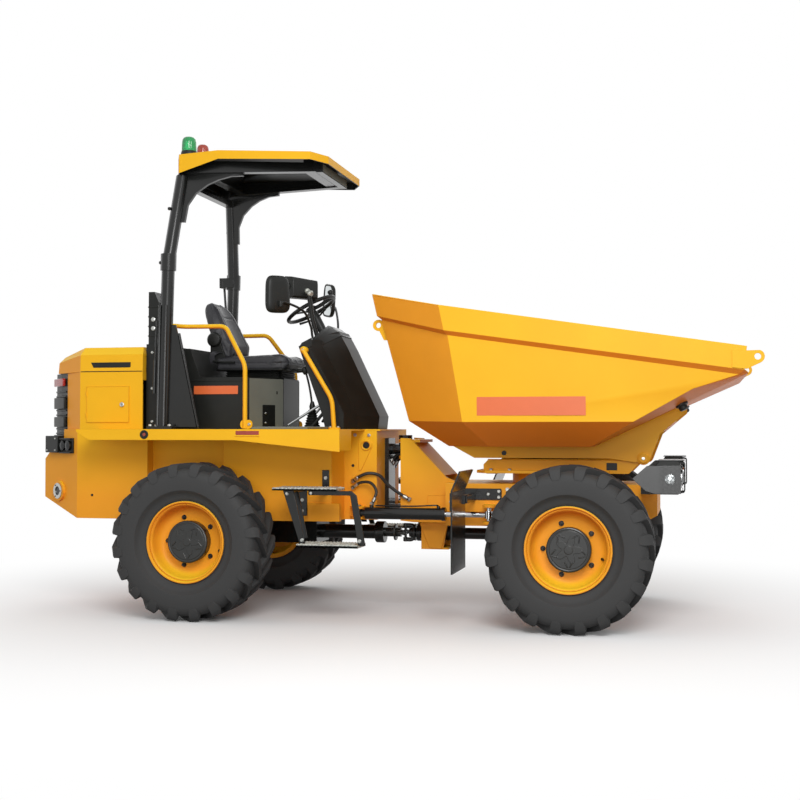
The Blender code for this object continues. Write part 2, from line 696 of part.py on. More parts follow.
def canopy():
    post_top = (-0.262, 0.500, 3.145)
    bend = (-0.300, POST_HALF, 2.500)
    lean = (bend[1] - post_top[1]) / (post_top[2] - bend[2])
    web = [
        (-0.290, 2.800), (-0.215, 2.800), (-0.205, 2.930), (-0.155, 3.020), (-0.075, 3.085), (0.000, 3.122),
        (0.085, 3.146), (0.175, 3.150), (0.175, 3.190), (-0.245, 3.190), (-0.290, 3.140),
    ]
    adds = []
    for s in SIDES.values():
        foot = (POST_X, s * POST_HALF, DECK_TOP + 0.012)
        path = [foot, (bend[0], s * bend[1], bend[2]), (post_top[0], s * post_top[1], post_top[2])]
        adds.append(sweep(path, POST_RADIUS, 8))
        y0, y1 = sorted((s * 0.606, s * 0.735))
        adds.append(box(-0.43, -0.24, y0, y1, DECK_TOP + GAP, DECK_TOP + 0.022))
        y0, y1 = sorted((s * 0.652, s * 0.668))
        adds.append(side([(-0.32, 2.05), (-0.24, 2.05), (-0.08, 1.32), (-0.32, 1.32)], y0, y1))
        adds.append(bar((-0.3015, s * POST_HALF, 2.44), (-0.2985, s * POST_HALF, 2.56), 0.056, 8))
        ends = []
        for (x, y), top in ((CHANNEL_REAR, 3.262), (CHANNEL_FRONT, 3.236)):
            corners = [(-1, CHANNEL_BOTTOM), (1, CHANNEL_BOTTOM), (1, top), (-1, top)]
            ends.append([(x, s * (y + k * CHANNEL_HALF), z) for k, z in corners])
        adds.append(loft(ends))
        gusset = side(web, -0.015, 0.015)
        for vertex in gusset.vertices:
            x, y, z = vertex.co
            vertex.co.y = y + s * (channel_y(x) + lean * max(CHANNEL_BOTTOM - z, 0.0))
        adds.append(gusset)
    for x0, x1, half_width in ((-0.20, -0.12, 0.41), (0.60, 0.68, 0.31)):
        under = ROOF_SHEET + 0.0006
        outline = [(x0, 3.180), (x1, 3.180), (x1, crown_z(x1) - under), (x0, crown_z(x0) - under)]
        adds.append(side(outline, -half_width, half_width))
        adds.append(box(x0, x1, -half_width - 0.040, half_width + 0.040, 3.180, 3.235))
    adds.append(box(0.700, 0.750, -0.330, 0.330, CHANNEL_BOTTOM - 0.004, 3.232))
    base = box(-0.300, -0.240, -0.490, 0.490, 3.085, 3.140)
    node("rops_frame", "black_paint", base, join(*adds))

    half = {}
    for n, (x, y, edge, bottom, cx, cy) in enumerate(ROOF):
        half[f"bottom{n}"] = (x, y, bottom)
        half[f"edge{n}"] = (x, y, edge)
        half[f"crown{n}"] = (cx, cy, crown_z(cx))
    last = len(ROOF) - 1
    faces, crossings = [], []
    for n in (0, last):
        crossings += [f"bottom{n} edge{n}", f"edge{n} crown{n}"]
    for n in range(last):
        crossings.append(f"crown{n} crown{n + 1}")
        faces += [f"bottom{n} bottom{n + 1} edge{n + 1} edge{n}", f"edge{n} edge{n + 1} crown{n + 1} crown{n}"]
    sheet("canopy_roof", "body_yellow", half, faces, crossings, ROOF_SHEET, (0.25, 0, 3.1))

    # name, finish, x, y, radius, height
    beacons = (
        ("beacon_green", "green_lens", -0.232, -0.450, 0.060, 0.134),
        ("beacon_amber", "amber_lens", -0.205, -0.250, 0.050, 0.118),
    )
    for name, slot, x, y, radius, height in beacons:
        seat_z = crown_z(x + radius) + GAP
        profile = [
            (0.0, 0.0),
            (radius, 0.0),
            (radius, 0.025),
            (0.92 * radius, 0.030),
            (0.84 * radius, 0.74 * height),
            (0.62 * radius, 0.94 * height),
            (0.0, height),
        ]
        node(name, slot, lathe(profile, (x, y, seat_z), 1, 16, upright=True), smooth=True)


def crown_z(x):
    """Height of the roof's raised middle at x."""
    for (x0, z0), (x1, z1) in zip(CROWN, CROWN[1:]):
        if x <= x1:
            break
    return z0 + (z1 - z0) * (x - x0) / (x1 - x0)


def seat():
    bulkhead = box(-0.494, -0.404, -0.60, 0.60, DECK_TOP + GAP, BULKHEAD_TOP)
    node("bulkhead", "dark_plastic", bulkhead, cut(box(-0.488, -0.410, -0.594, 0.594, 1.2, BULKHEAD_TOP - 0.006)))
    stack_foot = BULKHEAD_TOP + GAP
    stack = [(-0.485, stack_foot), (-0.408, stack_foot), (-0.408, 2.225), (-0.440, 2.300), (-0.485, 2.300)]
    node("intake_stack", "dark_plastic", side(stack, -0.585, -0.475))

    box_plan = mirrored([(-0.20, SEAT_BOX_HALF), (0.25, SEAT_BOX_HALF), (0.41, 0.185)])
    floor = DECK_TOP + GAP
    hump = [(-0.39, floor), (-0.39, HUMP_TOP), (-0.20, HUMP_TOP), (-0.12, SEAT_BOX_TOP - 0.005), (-0.12, floor)]
    wall = 0.006
    hump_inside = [
        (-0.39 + wall, 1.2),
        (-0.39 + wall, HUMP_TOP - wall),
        (-0.205, HUMP_TOP - wall),
        (-0.13, SEAT_BOX_TOP - wall),
        (-0.13, 1.2),
    ]
    hollow = [(max(x, -0.15), y) for x, y in inset(box_plan, wall)]
    shaping = join(side(hump, -SEAT_BOX_HALF, SEAT_BOX_HALF))
    shaping += cut(side(hump_inside, -SEAT_BOX_HALF + wall, SEAT_BOX_HALF - wall))
    shaping += cut(plan(hollow, 1.2, SEAT_BOX_TOP - wall))
    shaping += join(box(-0.03, 0.37, -0.18, 0.18, SEAT_BOX_TOP - 0.003, SUSPENSION_TOP))
    node("seat_box", "dark_plastic", plan(box_plan, floor, SEAT_BOX_TOP), shaping)

    low = SUSPENSION_TOP + GAP
    cushion = [(-0.10, low), (0.43, low), (0.47, low + 0.04), (0.45, low + 0.09), (0.40, low + 0.105), (-0.10, low + 0.085)]
    node("seat_cushion", "seat_vinyl", side(cushion, -SEAT_HALF, SEAT_HALF))
    back_z = low + 0.085 + GAP
    back = [(-0.10, back_z), (-0.005, back_z + 0.004), (0.005, back_z + 0.10), (-0.145, 2.235), (-0.185, 2.270), (-0.240, 2.250)]
    node("seat_back", "seat_vinyl", side(back, -BACK_HALF, BACK_HALF))

    for name, s in SIDES.items():
        path = [
            (-0.215, s * 0.47, HUMP_TOP + 0.004),
            (-0.215, s * 0.47, 2.050),
            (0.063, s * 0.47, 2.050),
            (0.255, s * 0.585, 1.760),
            (0.255, s * 0.585, DECK_TOP + 0.006),
        ]
        feet = [
            box(-0.240, -0.190, s * 0.47 - 0.025, s * 0.47 + 0.025, HUMP_TOP + GAP, HUMP_TOP + 0.010),
            box(0.220, 0.290, s * 0.585 - 0.03, s * 0.585 + 0.03, DECK_TOP + GAP, DECK_TOP + 0.012),
        ]
        rail = sweep(rounded(path, 0.06), RAIL_RADIUS, 10)
        node(f"seat_rail_{name}", "body_yellow", rail, join(*feet), smooth=True)


def dash_z(x):
    return DASH_POINT[2] + (x - DASH_POINT[0]) * -DASH_NORMAL[0] / DASH_NORMAL[2]


def console():
    rings = [
        (DECK_TOP + GAP, (0.800, 0.42), (0.940, 0.42), (1.120, 0.14)),
        (1.400, (0.780, 0.42), (0.940, 0.42), (1.130, 0.14)),
        (1.900, (0.600, 0.42), (0.680, 0.42), (0.890, 0.14)),
        (None, (0.625, 0.40), (0.700, 0.37), (0.820, 0.14)),
    ]
    half = {}
    for n, (z, *corners) in enumerate(rings):
        for letter, (x, y) in zip("abc", corners):
            half[f"{letter}{n}"] = (x, y, dash_z(x) if z is None else z)
    faces, crossings = [], ["a3 b3 c3"]
    for n in range(3):
        faces += [f"a{n} b{n} b{n + 1} a{n + 1}", f"b{n} c{n} c{n + 1} b{n + 1}"]
        crossings.append(f"c{n} c{n + 1}")
    sheet("console", "dark_plastic", half, faces, crossings, 0.010, (0.75, 0, 1.6))

    base = along(DASH_POINT, DASH_NORMAL, GAP)
    top = along(DASH_POINT, DASH_NORMAL, COLUMN_LENGTH)
    boot = bar(base, along(DASH_POINT, DASH_NORMAL, 0.09), 0.055, 16)
    node("steering_column", "dark_plastic", bar(base, top, 0.034), join(boot), smooth=True)
    centre = along(DASH_POINT, DASH_NORMAL, COLUMN_LENGTH + 0.018)
    hub = bar(along(DASH_POINT, DASH_NORMAL, COLUMN_LENGTH + GAP), along(DASH_POINT, DASH_NORMAL, COLUMN_LENGTH + 0.036), 0.042)
    d, u, v = frame_of(DASH_NORMAL)
    spokes = []
    for angle in (90, 210, 330):
        a = math.radians(angle)
        out = [math.cos(a) * p + math.sin(a) * q for p, q in zip(u, v)]
        spokes.append(bar(along(centre, out, 0.020), along(centre, out, STEERING_WHEEL_RADIUS), 0.011, 8))
    rim = torus(centre, DASH_NORMAL, STEERING_WHEEL_RADIUS, 0.015)
    node("steering_wheel", "dark_plastic", rim, join(hub, *spokes), origin=centre, smooth=True)

    foot = (0.665, -0.29, dash_z(0.665))
    stalk = [along(foot, DASH_NORMAL, GAP), along(foot, DASH_NORMAL, 0.03), (0.640, -0.29, 2.05), (0.640, -0.29, 2.36)]
    screen = [(0.56, 2.29), (0.68, 2.29), (0.69, 2.35), (0.66, 2.40), (0.55, 2.405), (0.535, 2.38)]
    node("display_unit", "dark_plastic", side(screen, -0.38, -0.20), join(sweep(stalk, 0.016, 8)))

    for name, s in SIDES.items():
        foot = (0.690, s * 0.33, dash_z(0.690))
        arm = [
            along(foot, DASH_NORMAL, GAP),
            along(foot, DASH_NORMAL, 0.03),
            (0.665, s * 0.350, 2.06),
            (0.600, s * 0.480, 2.27),
            (0.550, s * 0.615, 2.30),
        ]
        middle = (0.530, s * 0.645, 2.288)
        face = (-0.80, -s * 0.60)
        across = (0.60, -s * 0.80)
        rings = []
        for z, share in ((-0.145, 0.55), (-0.115, 0.95), (0.0, 1.0), (0.115, 0.95), (0.145, 0.55)):
            ring = []
            for a, b in ((-0.095, 0.020), (0.095, 0.020), (0.095, -0.004), (0.060, -0.026), (-0.060, -0.026), (-0.095, -0.004)):
                x = middle[0] + a * share * across[0] + b * face[0]
                y = middle[1] + a * share * across[1] + b * face[1]
                ring.append((x, y, middle[2] + z))
            rings.append(ring)
        arm_mesh = sweep(rounded(arm, 0.05), 0.011, 8)
        node(f"mirror_{name}", "dark_plastic", loft(rings), join(arm_mesh))

        path = [(0.650, s * 0.465, 1.870), (0.865, s * 0.470, 1.515), (0.880, s * 0.470, DECK_TOP + 0.006)]
        parts = [
            bar((0.650, s * (CONSOLE_HALF + GAP), 1.870), (0.650, s * 0.470, 1.870), 0.020, 12),
            box(0.845, 0.915, s * 0.47 - 0.03, s * 0.47 + 0.03, DECK_TOP + GAP, DECK_TOP + 0.012),
        ]
        node(f"console_rail_{name}", "body_yellow", sweep(rounded(path, 0.08), RAIL_RADIUS, 10), join(*parts), smooth=True)

    x, y = 0.630, -0.33
    profile = [(0.0, 0.0), (0.055, 0.0), (0.055, 0.03), (0.042, 0.06), (0.030, 0.17), (0.014, 0.20), (0.0, 0.20)]
    gaiter = lathe(profile, (x, y, DECK_TOP + GAP), 1, 16, upright=True)
    stick = [bar((x, y, 1.48), (x - 0.05, y, 1.72), 0.008, 8)]
    knob = [(0.0, 0.0), (0.018, 0.012), (0.024, 0.035), (0.014, 0.058), (0.0, 0.062)]
    stick.append(lathe(knob, (x - 0.05, y, 1.70), 1, 12, upright=True))
    node("gear_lever", "dark_plastic", gaiter, join(*stick), smooth=True)


def steps():
    for name, s in SIDES.items():
        def slab(x0, x1, y0, y1, z0, z1):
            low, high = sorted((s * y0, s * y1))
            return box(x0, x1, low, high, z0, z1)

        def strip(outline, y0, y1):
            low, high = sorted((s * y0, s * y1))
            return side(outline, low, high)

        wall = SIDE_HALF + GAP
        front = [(0.84, 0.862), (0.84, 0.897), (1.14, 0.897), (1.175, 0.862), (1.235, 0.528), (1.185, 0.528), (1.13, 0.862)]
        parts = [
            slab(0.770, 1.195, 0.790, 1.000, 0.515, 0.540),
            slab(0.655, 0.725, wall, 0.612, 0.700, 0.905),
            slab(0.835, 0.885, wall, 0.612, 0.860, 1.020),
            slab(0.665, 0.715, 0.606, 0.955, 0.872, 0.896),
            slab(0.840, 0.880, 0.606, 0.955, 0.865, 0.896),
            strip([(0.660, 0.896), (0.735, 0.896), (0.820, 0.528), (0.780, 0.528)], 0.940, 0.952),
            strip(front, 0.940, 0.952),
        ]
        node(f"step_{name}", "galvanised", slab(0.600, 1.050, 0.800, 1.000, 0.893, 0.915), join(*parts))


def pivot():
    def pin(radius, z0, z1):
        return bar((PIVOT_X, 0, z0), (PIVOT_X, 0, z1), radius, 16)

    parts = [
        bar((1.18, 0, 1.160), (PIVOT_X - 0.02, 0, 1.160), 0.040, 16),
        pin(0.050, 1.115, 1.205),
        pin(PIVOT_PIN, 1.080, 1.250),
        pin(0.050, 1.231, 1.262),
        box(1.18, PIVOT_X, -0.050, 0.050, 0.705, 0.755),
        pin(0.050, 0.705, 0.755),
        pin(PIVOT_PIN, 0.665, 0.795),
    ]
    node("centre_pivot", "black_paint", box(NOSE_X + GAP, 1.190, -0.10, 0.10, 0.68, 1.24), join(*parts))


def front_frame():
    plate = [(1.309, 0.650), (1.309, 1.242), (1.383, 1.238), (1.646, 0.962), (1.740, 0.922), (1.740, 0.640), (1.40, 0.640)]
    brace = [(1.385, 1.232), (1.405, 1.216), (1.632, 0.976), (1.618, 0.962), (1.390, 1.203), (1.372, 1.216)]
    bore = bar((PIVOT_X, 0, 0.5), (PIVOT_X, 0, 1.4), PIVOT_PIN + PIN_CLEARANCE, 16)
    lug = [(1.45, -0.225), (1.45, 0.225), (1.32, 0.225)] + arc((PIVOT_X, 0), 0.050, 110, 250, 8) + [(1.32, -0.225)]
    parts = [
        side(brace, -0.225, 0.225),
        box(1.66, 1.68, -BEAM_HALF, BEAM_HALF, BEAM_BOTTOM, BEAM_TOP),
        box(1.67, BEAM_FRONT, -BEAM_HALF, BEAM_HALF, 0.905, BEAM_TOP),
        box(BEAM_FRONT - 0.02, BEAM_FRONT, -BEAM_HALF, BEAM_HALF, 0.720, BEAM_TOP),
        bar((SWIVEL_X, 0, 0.920), (SWIVEL_X, 0, TABLE_BOTTOM - GAP), 0.330, 24),
        box(1.44, 1.64, -0.225, 0.225, 0.645, 0.665),
        box(1.44, 1.64, -0.135, 0.135, 0.440, 0.452),
    ]
    parts += [plan(lug, z, z + 0.020) for z in (0.678, 0.762, 1.090, 1.210)]
    beam = [(1.66, BEAM_BOTTOM), (1.66, BEAM_TOP), (BEAM_FRONT, BEAM_TOP), (BEAM_FRONT, 0.720), (2.96, BEAM_BOTTOM)]
    for s in SIDES.values():
        y0, y1 = sorted((s * PLATE_INNER, s * PLATE_OUTER))
        if s > 0:
            parts.append(side(plate, y0, y1))
        y0, y1 = sorted((s * (BEAM_HALF - 0.020), s * BEAM_HALF))
        parts.append(side(beam, y0, y1))
        y0, y1 = sorted((s * 0.123, s * 0.135))
        parts.append(side([(1.44, 0.44), (1.44, 0.65), (1.64, 0.65), (1.60, 0.44)], y0, y1))
        for z0, z1 in ((STEER_Z - 0.066, STEER_Z - 0.048), (STEER_Z + 0.050, STEER_Z + 0.068)):
            ear = [(2.10, s * 0.345), (1.94, s * 0.345)]
            ear += arc((STEER_FRONT_X, s * STEER_Y), 0.045, 180, 180 - s * 180, 6)
            parts.append(plan(ear, z0, z1))
        y0, y1 = sorted((s * (BEAM_HALF - 0.005), s * 0.548))
        parts.append(box(3.01, 3.09, y0, y1, 0.870, 0.915))
    base = side(plate, -PLATE_OUTER, -PLATE_INNER)
    node("front_frame", "body_yellow", base, join(*parts) + cut(bore))

    for name, s in SIDES.items():
        y0, y1 = sorted((s * 0.555, s * 0.800))
        lamp = [(3.150, 0.885), (3.265, 0.885), (3.280, 0.905), (3.280, 1.080), (3.265, 1.100), (3.150, 1.100), (3.110, 1.040), (3.110, 0.930)]
        y2, y3 = sorted((s * (0.548 + GAP), s * 0.570))
        mount = box(3.02, 3.160, y2, y3, 0.875, 0.990)
        node(f"headlight_{name}", "dark_plastic", side(lamp, y0, y1), join(mount))

        y0, y1 = sorted((s * 0.620, s * 1.100))
        flap = [(1.840, 0.370), (1.850, 0.370), (1.850, 0.900), (1.905, 1.030), (1.895, 1.034), (1.840, 0.905)]
        y2, y3 = sorted((s * (BEAM_HALF + GAP), s * 0.700))
        hanger = box(1.846, 1.864, y2, y3, 0.800, 0.860)
        node(f"mudflap_{name}", "black_paint", side(flap, y0, y1), join(hanger))


def turntable():
    low = TABLE_BOTTOM
    outline = [
        (1.950, -0.420), (2.700, -0.420), (2.800, -0.395), (2.800, 0.395), (2.700, 0.420), (1.950, 0.420),
        (1.880, 0.330), (1.880, -0.330),
    ]
    cheek = [(1.93, low), (2.93, low)]
    cheek += arc((TIP_X, TIP_Z), CHEEK_RADIUS, 230, 450, 10) + [(2.93, 1.090), (1.96, 1.090), (1.93, 1.06)]
    parts = [bar((RAM_BASE[0], -0.064, RAM_BASE[1]), (RAM_BASE[0], 0.064, RAM_BASE[1]), 0.020, 16)]
    for s in SIDES.values():
        y0, y1 = sorted((s * CHEEK_INNER, s * CHEEK_OUTER))
        parts.append(side(cheek, y0, y1))
        parts.append(bar((TIP_X, s * (CHEEK_INNER - 0.01), TIP_Z), (TIP_X, s * (LUG_OUTER + 0.010), TIP_Z), TIP_PIN, 16))
        y0, y1 = sorted((s * 0.052, s * 0.066))
        ear = [(1.905, 0.985), (1.985, 0.985), (2.010, 1.010)] + arc(RAM_BASE, 0.042, 0, 180, 6) + [(1.905, 1.010)]
        parts.append(side(ear, y0, y1))
    slot = box(1.800, 2.300, -0.052, 0.052, 0.90, TABLE_TOP + 0.1)
    table = plan(outline, low, TABLE_TOP)
    cross = box(2.700, 2.780, -CHEEK_OUTER + 0.004, CHEEK_OUTER - 0.004, low + 0.004, 1.060)
    node("turntable", "body_yellow", table, cut(slot) + join(cross, *parts), origin=(SWIVEL_X, 0, low))


def skip():
    half = {
        "A": (1.178, 0.550, 2.247),
        "B": (1.729, SKIP_HALF, 2.122),
        "C": (3.690, SKIP_HALF, 1.820),
        "A1": (1.212, 0.545, 2.095),
        "B1": (1.765, SKIP_HALF, 1.955),
        "C1": (3.675, SKIP_HALF, 1.675),
        "A2": (1.240, 0.520, 2.070),
        "B2": (1.785, 0.918, 1.925),
        "C2": (3.640, 0.918, 1.648),
        "D": (1.431, 0.500, 1.362),
        "E": (1.880, 0.900, 1.352),
        "F": (2.990, 0.900, 1.352),
        "G": (1.695, 0.400, SKIP_FLOOR),
        "H": (2.020, 0.680, SKIP_FLOOR),
        "I": (2.700, 0.680, SKIP_FLOOR),
        "N": (3.360, 0.905, 1.560),
        "Q": (3.330, 0.660, 1.485),
        "L": (3.700, 0.905, 1.655),
    }
    faces = [
        "A B B1 A1", "B C C1 B1", "A1 B1 B2 A2", "B1 C1 C2 B2", "A2 B2 E D", "D E H G",
        "B2 C2 L N F E", "C1 L C2", "E F I H", "F N Q I", "N L Q",
    ]
    crossings = ["A A1", "A1 A2", "A2 D", "D G", "G H I", "I Q", "Q L"]
    parts, holes = [], []
    for s in SIDES.values():
        y0, y1 = sorted((s * 0.462, s * 0.478))
        tail = [(1.245, 1.930), (1.290, 1.930), (1.262, 2.055), (1.215, 2.075)] + arc((1.205, 2.035), 0.040, 80, 280, 8)
        parts.append(side(tail, y0, y1))
        holes.append(bar((1.205, s * 0.44, 2.035), (1.205, s * 0.50, 2.035), 0.019, 12))
        y0, y1 = sorted((s * 0.9435, s * 0.958))
        ear = [(3.600, 1.690), (3.690, 1.680)] + arc((3.755, 1.757), 0.042, -70, 70, 8) + [(3.690, 1.795), (3.600, 1.800)]
        parts.append(side(ear, y0, y1))
        holes.append(bar((3.755, s * 0.92, 1.757), (3.755, s * 0.98, 1.757), 0.021, 12))
    place_at = (TIP_X, 0.0, TIP_Z)
    steps_taken = join(*parts) + cut(*holes)
    sheet("skip_body", "body_yellow", half, faces, crossings, SKIP_SHEET, (2.5, 0, 1.75), steps_taken, place_at)

    slope = (1.485 - SKIP_FLOOR) / (3.330 - 2.700)
    top = SKIP_FLOOR - GAP
    beam = [
        (1.720, top), (1.870, 1.105), (2.800, 1.105), (2.965, 1.082),
        *arc((TIP_X, TIP_Z), LUG_RADIUS, 215, 340, 8),
        (3.140, 1.270), (3.315, 1.420), (3.315, top + slope * 0.615 - 0.0004), (2.700, top),
    ]
    cross = LUG_INNER + 0.010
    parts, bores = [], []
    for s in SIDES.values():
        y0, y1 = sorted((s * LUG_INNER, s * LUG_OUTER))
        if s > 0:
            parts.append(side(beam, y0, y1))
        bores.append(bar((TIP_X, s * 0.31, TIP_Z), (TIP_X, s * 0.42, TIP_Z), TIP_PIN + PIN_CLEARANCE, 16))
        y0, y1 = sorted((s * 0.036, s * 0.048))
        ear = [(2.70, 1.180), (2.70, 1.13)] + arc(RAM_EYE, 0.032, 180, 360, 6) + [(2.80, 1.180)]
        parts.append(side(ear, y0, y1))
        bores.append(bar((RAM_EYE[0], s * 0.02, RAM_EYE[1]), (RAM_EYE[0], s * 0.06, RAM_EYE[1]), 0.016, 12))
    parts += [
        box(1.905, 1.965, -cross, cross, 1.130, top),
        box(2.640, 2.690, -cross, cross, 1.170, top),
        side([(2.62, 1.172), (2.62, top), (2.70, top), (2.88, top + slope * 0.18), (2.88, 1.245), (2.70, 1.172)], -0.10, 0.10),
        side([(3.16, 1.290), (3.16, top + slope * 0.46 - 0.0004), (3.24, top + slope * 0.54 - 0.0004), (3.24, 1.355)], -cross, cross),
    ]
    base = side(beam, -LUG_OUTER, -LUG_INNER)
    node("skip_frame", "body_yellow", base, join(*parts) + cut(*bores), origin=place_at)


def tip_ram():
    run = math.dist(RAM_BASE, RAM_EYE)
    d = ((RAM_EYE[0] - RAM_BASE[0]) / run, 0.0, (RAM_EYE[1] - RAM_BASE[1]) / run)
    base = (RAM_BASE[0], 0.0, RAM_BASE[1])
    eye = (RAM_EYE[0], 0.0, RAM_EYE[1])

    def length(s0, s1, radius, segments=12):
        return bar(along(base, d, s0), along(base, d, s1), radius, segments)

    def across(centre, half, radius, segments=16):
        return bar((centre[0], -half, centre[2]), (centre[0], half, centre[2]), radius, segments)

    steps_taken = join(length(0.015, 0.060, 0.024), length(0.045, RAM_BARREL, RAM_RADIUS, 16))
    steps_taken += cut(across(base, 0.1, 0.0207), length(0.075, RAM_BARREL + 0.1, RAM_ROD + 0.0006, 16))
    node("tip_barrel", "black_paint", across(base, 0.044, 0.034), steps_taken, origin=base, smooth=True)
    steps_taken = join(length(0.090, run - 0.010, RAM_ROD, 16))
    node("tip_rod", "chromed_steel", across(eye, 0.030, 0.030), steps_taken, origin=eye, smooth=True)


def steering_rams():
    run = STEER_FRONT_X - STEER_REAR_X
    for name, s in SIDES.items():
        y = s * STEER_Y

        def length(s0, s1, radius, segments=12):
            return bar((STEER_REAR_X + s0, y, STEER_Z), (STEER_REAR_X + s1, y, STEER_Z), radius, segments)

        def upright(x, z0, z1, radius, segments=16):
            return bar((x, y, STEER_Z + z0), (x, y, STEER_Z + z1), radius, segments)

        shaping = join(length(0.010, 0.080, 0.024), length(0.058, STEER_BARREL, STEER_RADIUS, 16))
        shaping += cut(upright(STEER_REAR_X, -0.1, 0.1, STEER_PIN + PIN_CLEARANCE))
        shaping += cut(length(0.074, STEER_BARREL + 0.1, STEER_ROD_RADIUS + 0.0006, 16))
        base = (STEER_REAR_X, y, STEER_Z)
        eye = (STEER_FRONT_X, y, STEER_Z)
        barrel = upright(STEER_REAR_X, -0.025, 0.025, 0.035)
        node(f"steer_barrel_{name}", "black_paint", barrel, shaping, origin=base, smooth=True)
        rod = upright(STEER_FRONT_X, -0.025, 0.025, 0.032)
        rod_shaping = join(length(0.334, run - 0.010, STEER_ROD_RADIUS, 16))
        rod_shaping += join(upright(STEER_FRONT_X, -0.043, 0.045, STEER_PIN))
        node(f"steer_rod_{name}", "chromed_steel", rod, rod_shaping, origin=eye, smooth=True)


def main():
    clear_scene()
    wheels()
    axles()
    rear_frame()
    deck()
    engine()
    canopy()
    seat()
    console()
    steps()
    pivot()
    front_frame()
    turntable()
    skip()
    tip_ram()
    steering_rams()


main()
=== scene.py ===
"""Looks of a site dumper with a swivel skip: paint, rubber, vinyl, glass, hoses and fittings around its CAD
frame. Shapes are given from the rear axle: X forward from its centre line, Y to the left, Z from the ground.
make() moves each one into the frame's own axes."""

import json
import math

import bmesh
import bpy
import numpy as np
from bpy.props import FloatProperty, FloatVectorProperty, IntProperty, PointerProperty
from bpy.types import Operator, Panel, PropertyGroup
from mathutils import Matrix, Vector

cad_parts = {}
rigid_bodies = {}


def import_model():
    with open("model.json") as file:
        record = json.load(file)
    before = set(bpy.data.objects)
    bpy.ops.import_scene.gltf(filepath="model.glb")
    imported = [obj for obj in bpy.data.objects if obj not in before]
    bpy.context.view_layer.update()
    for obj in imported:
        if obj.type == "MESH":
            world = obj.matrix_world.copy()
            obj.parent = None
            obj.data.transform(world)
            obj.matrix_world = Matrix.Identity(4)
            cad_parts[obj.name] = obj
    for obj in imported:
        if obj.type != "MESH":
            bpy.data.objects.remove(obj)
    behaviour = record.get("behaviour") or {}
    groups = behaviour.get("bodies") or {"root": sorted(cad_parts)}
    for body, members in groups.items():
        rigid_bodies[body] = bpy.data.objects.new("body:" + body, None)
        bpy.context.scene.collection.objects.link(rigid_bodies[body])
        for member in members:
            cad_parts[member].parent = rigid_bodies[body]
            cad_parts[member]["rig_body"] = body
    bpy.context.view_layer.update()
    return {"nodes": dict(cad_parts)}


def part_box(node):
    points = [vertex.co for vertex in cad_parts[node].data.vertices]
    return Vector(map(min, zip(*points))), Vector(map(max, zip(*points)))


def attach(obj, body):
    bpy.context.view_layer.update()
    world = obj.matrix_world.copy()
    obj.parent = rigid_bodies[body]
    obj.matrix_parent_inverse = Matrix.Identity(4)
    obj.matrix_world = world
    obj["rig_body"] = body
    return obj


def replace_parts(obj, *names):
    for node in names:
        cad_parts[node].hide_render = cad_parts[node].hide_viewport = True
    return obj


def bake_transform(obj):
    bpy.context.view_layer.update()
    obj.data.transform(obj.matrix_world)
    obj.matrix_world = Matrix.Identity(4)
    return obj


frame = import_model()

bl_info = {
    "name": "Site Dumper Looks",
    "version": (1, 0, 0),
    "blender": (4, 5, 0),
    "location": "View3D > Sidebar > Dumper",
    "description": "Dresses the frame of a swivel skip site dumper, one group of pieces at a time",
    "category": "Object",
}

SIDES = {"right": -1.0, "left": 1.0}
PLAN, SIDE, FRONT = (0, 1, 2), (0, 2, 1), (2, 0, 1)
MM = 0.001


def box_middle(node):
    """Middle of a CAD node's box, in the frame's axes."""
    low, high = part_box(node)
    return (np.array(low) + np.array(high)) / 2


REAR_AXLE_X = float(box_middle("tyre_rear_left")[0])
TO_FRAME = np.array([REAR_AXLE_X, 0.0, 0.0])
WHEELBASE = float(box_middle("tyre_front_left")[0]) - REAR_AXLE_X
TYRE_RADIUS = float(box_middle("tyre_rear_left")[2])
TYRE_HALF = 0.2025
# Where the frame has what pieces are fitted to: the dash and its slope, the deck, the hinge, the drive shaft,
# the steering rams, the slewing ring, the top of the turntable and the canopy posts
DASH = np.array([0.7, 0.0, 1.9588])
DASH_UP = np.array([-0.48, 0.0, 0.8773])
DECK_TOP = float(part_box("engine_housing")[0][2])
HINGE_X, SHAFT_Z = 1.293, 0.548
RAM_Y, RAM_Z = 0.45, 0.715
SLEW_X, TABLE_TOP = 2.42, 1.0202
POST_Y = 0.66
# Finishes and bodies that many pieces share
ENAMEL_WITH_PAINTED_LIGHT, BLACK, PLASTIC = "sprayed_yellow_enamel_with_painted_light", "powder_coated_black", "moulded_black_plastic"
GREY, ZINC, IRON = "textured_grey_paint", "zinc_plated_steel", "painted_cast_iron"
REAR, AHEAD = "rear_chassis", "front_chassis"


# ---------------------------------------------------------------- shapes: (points, faces)


def skin(points, around=False, along=False, caps=False):
    """Quads over a grid of points [i, j]. around joins the last column to the first, along the last row to the
    first, and caps closes the first and the last row with one face each."""
    rows, columns = points.shape[:2]
    index = np.arange(rows * columns).reshape(rows, columns)
    i = np.arange(rows if along else rows - 1)
    j = np.arange(columns if around else columns - 1)
    n, m = (i + 1) % rows, (j + 1) % columns
    quads = [index[np.ix_(i, j)], index[np.ix_(i, m)], index[np.ix_(n, m)], index[np.ix_(n, j)]]
    faces = np.stack(quads, -1).reshape(-1, 4).tolist()
    if caps:
        faces += [index[0].tolist(), index[-1].tolist()]
    return points.reshape(-1, 3), faces


def together(*shapes):
    """Several shapes as one."""
    points, faces, start = [], [], 0
    for some, theirs in shapes:
        points.append(some)
        faces += [[k + start for k in face] for face in theirs]
        start += len(some)
    return np.concatenate(points), faces


def mirrored(shape):
    """The shape in the mirror of the middle plane: (x, y, z) goes to (x, -y, z)."""
    return shape[0] * [1.0, -1.0, 1.0], shape[1]


def sided(shape, side):
    """A shape drawn with positive Y, put on the side that is asked for."""
    return shape if side > 0 else mirrored(shape)


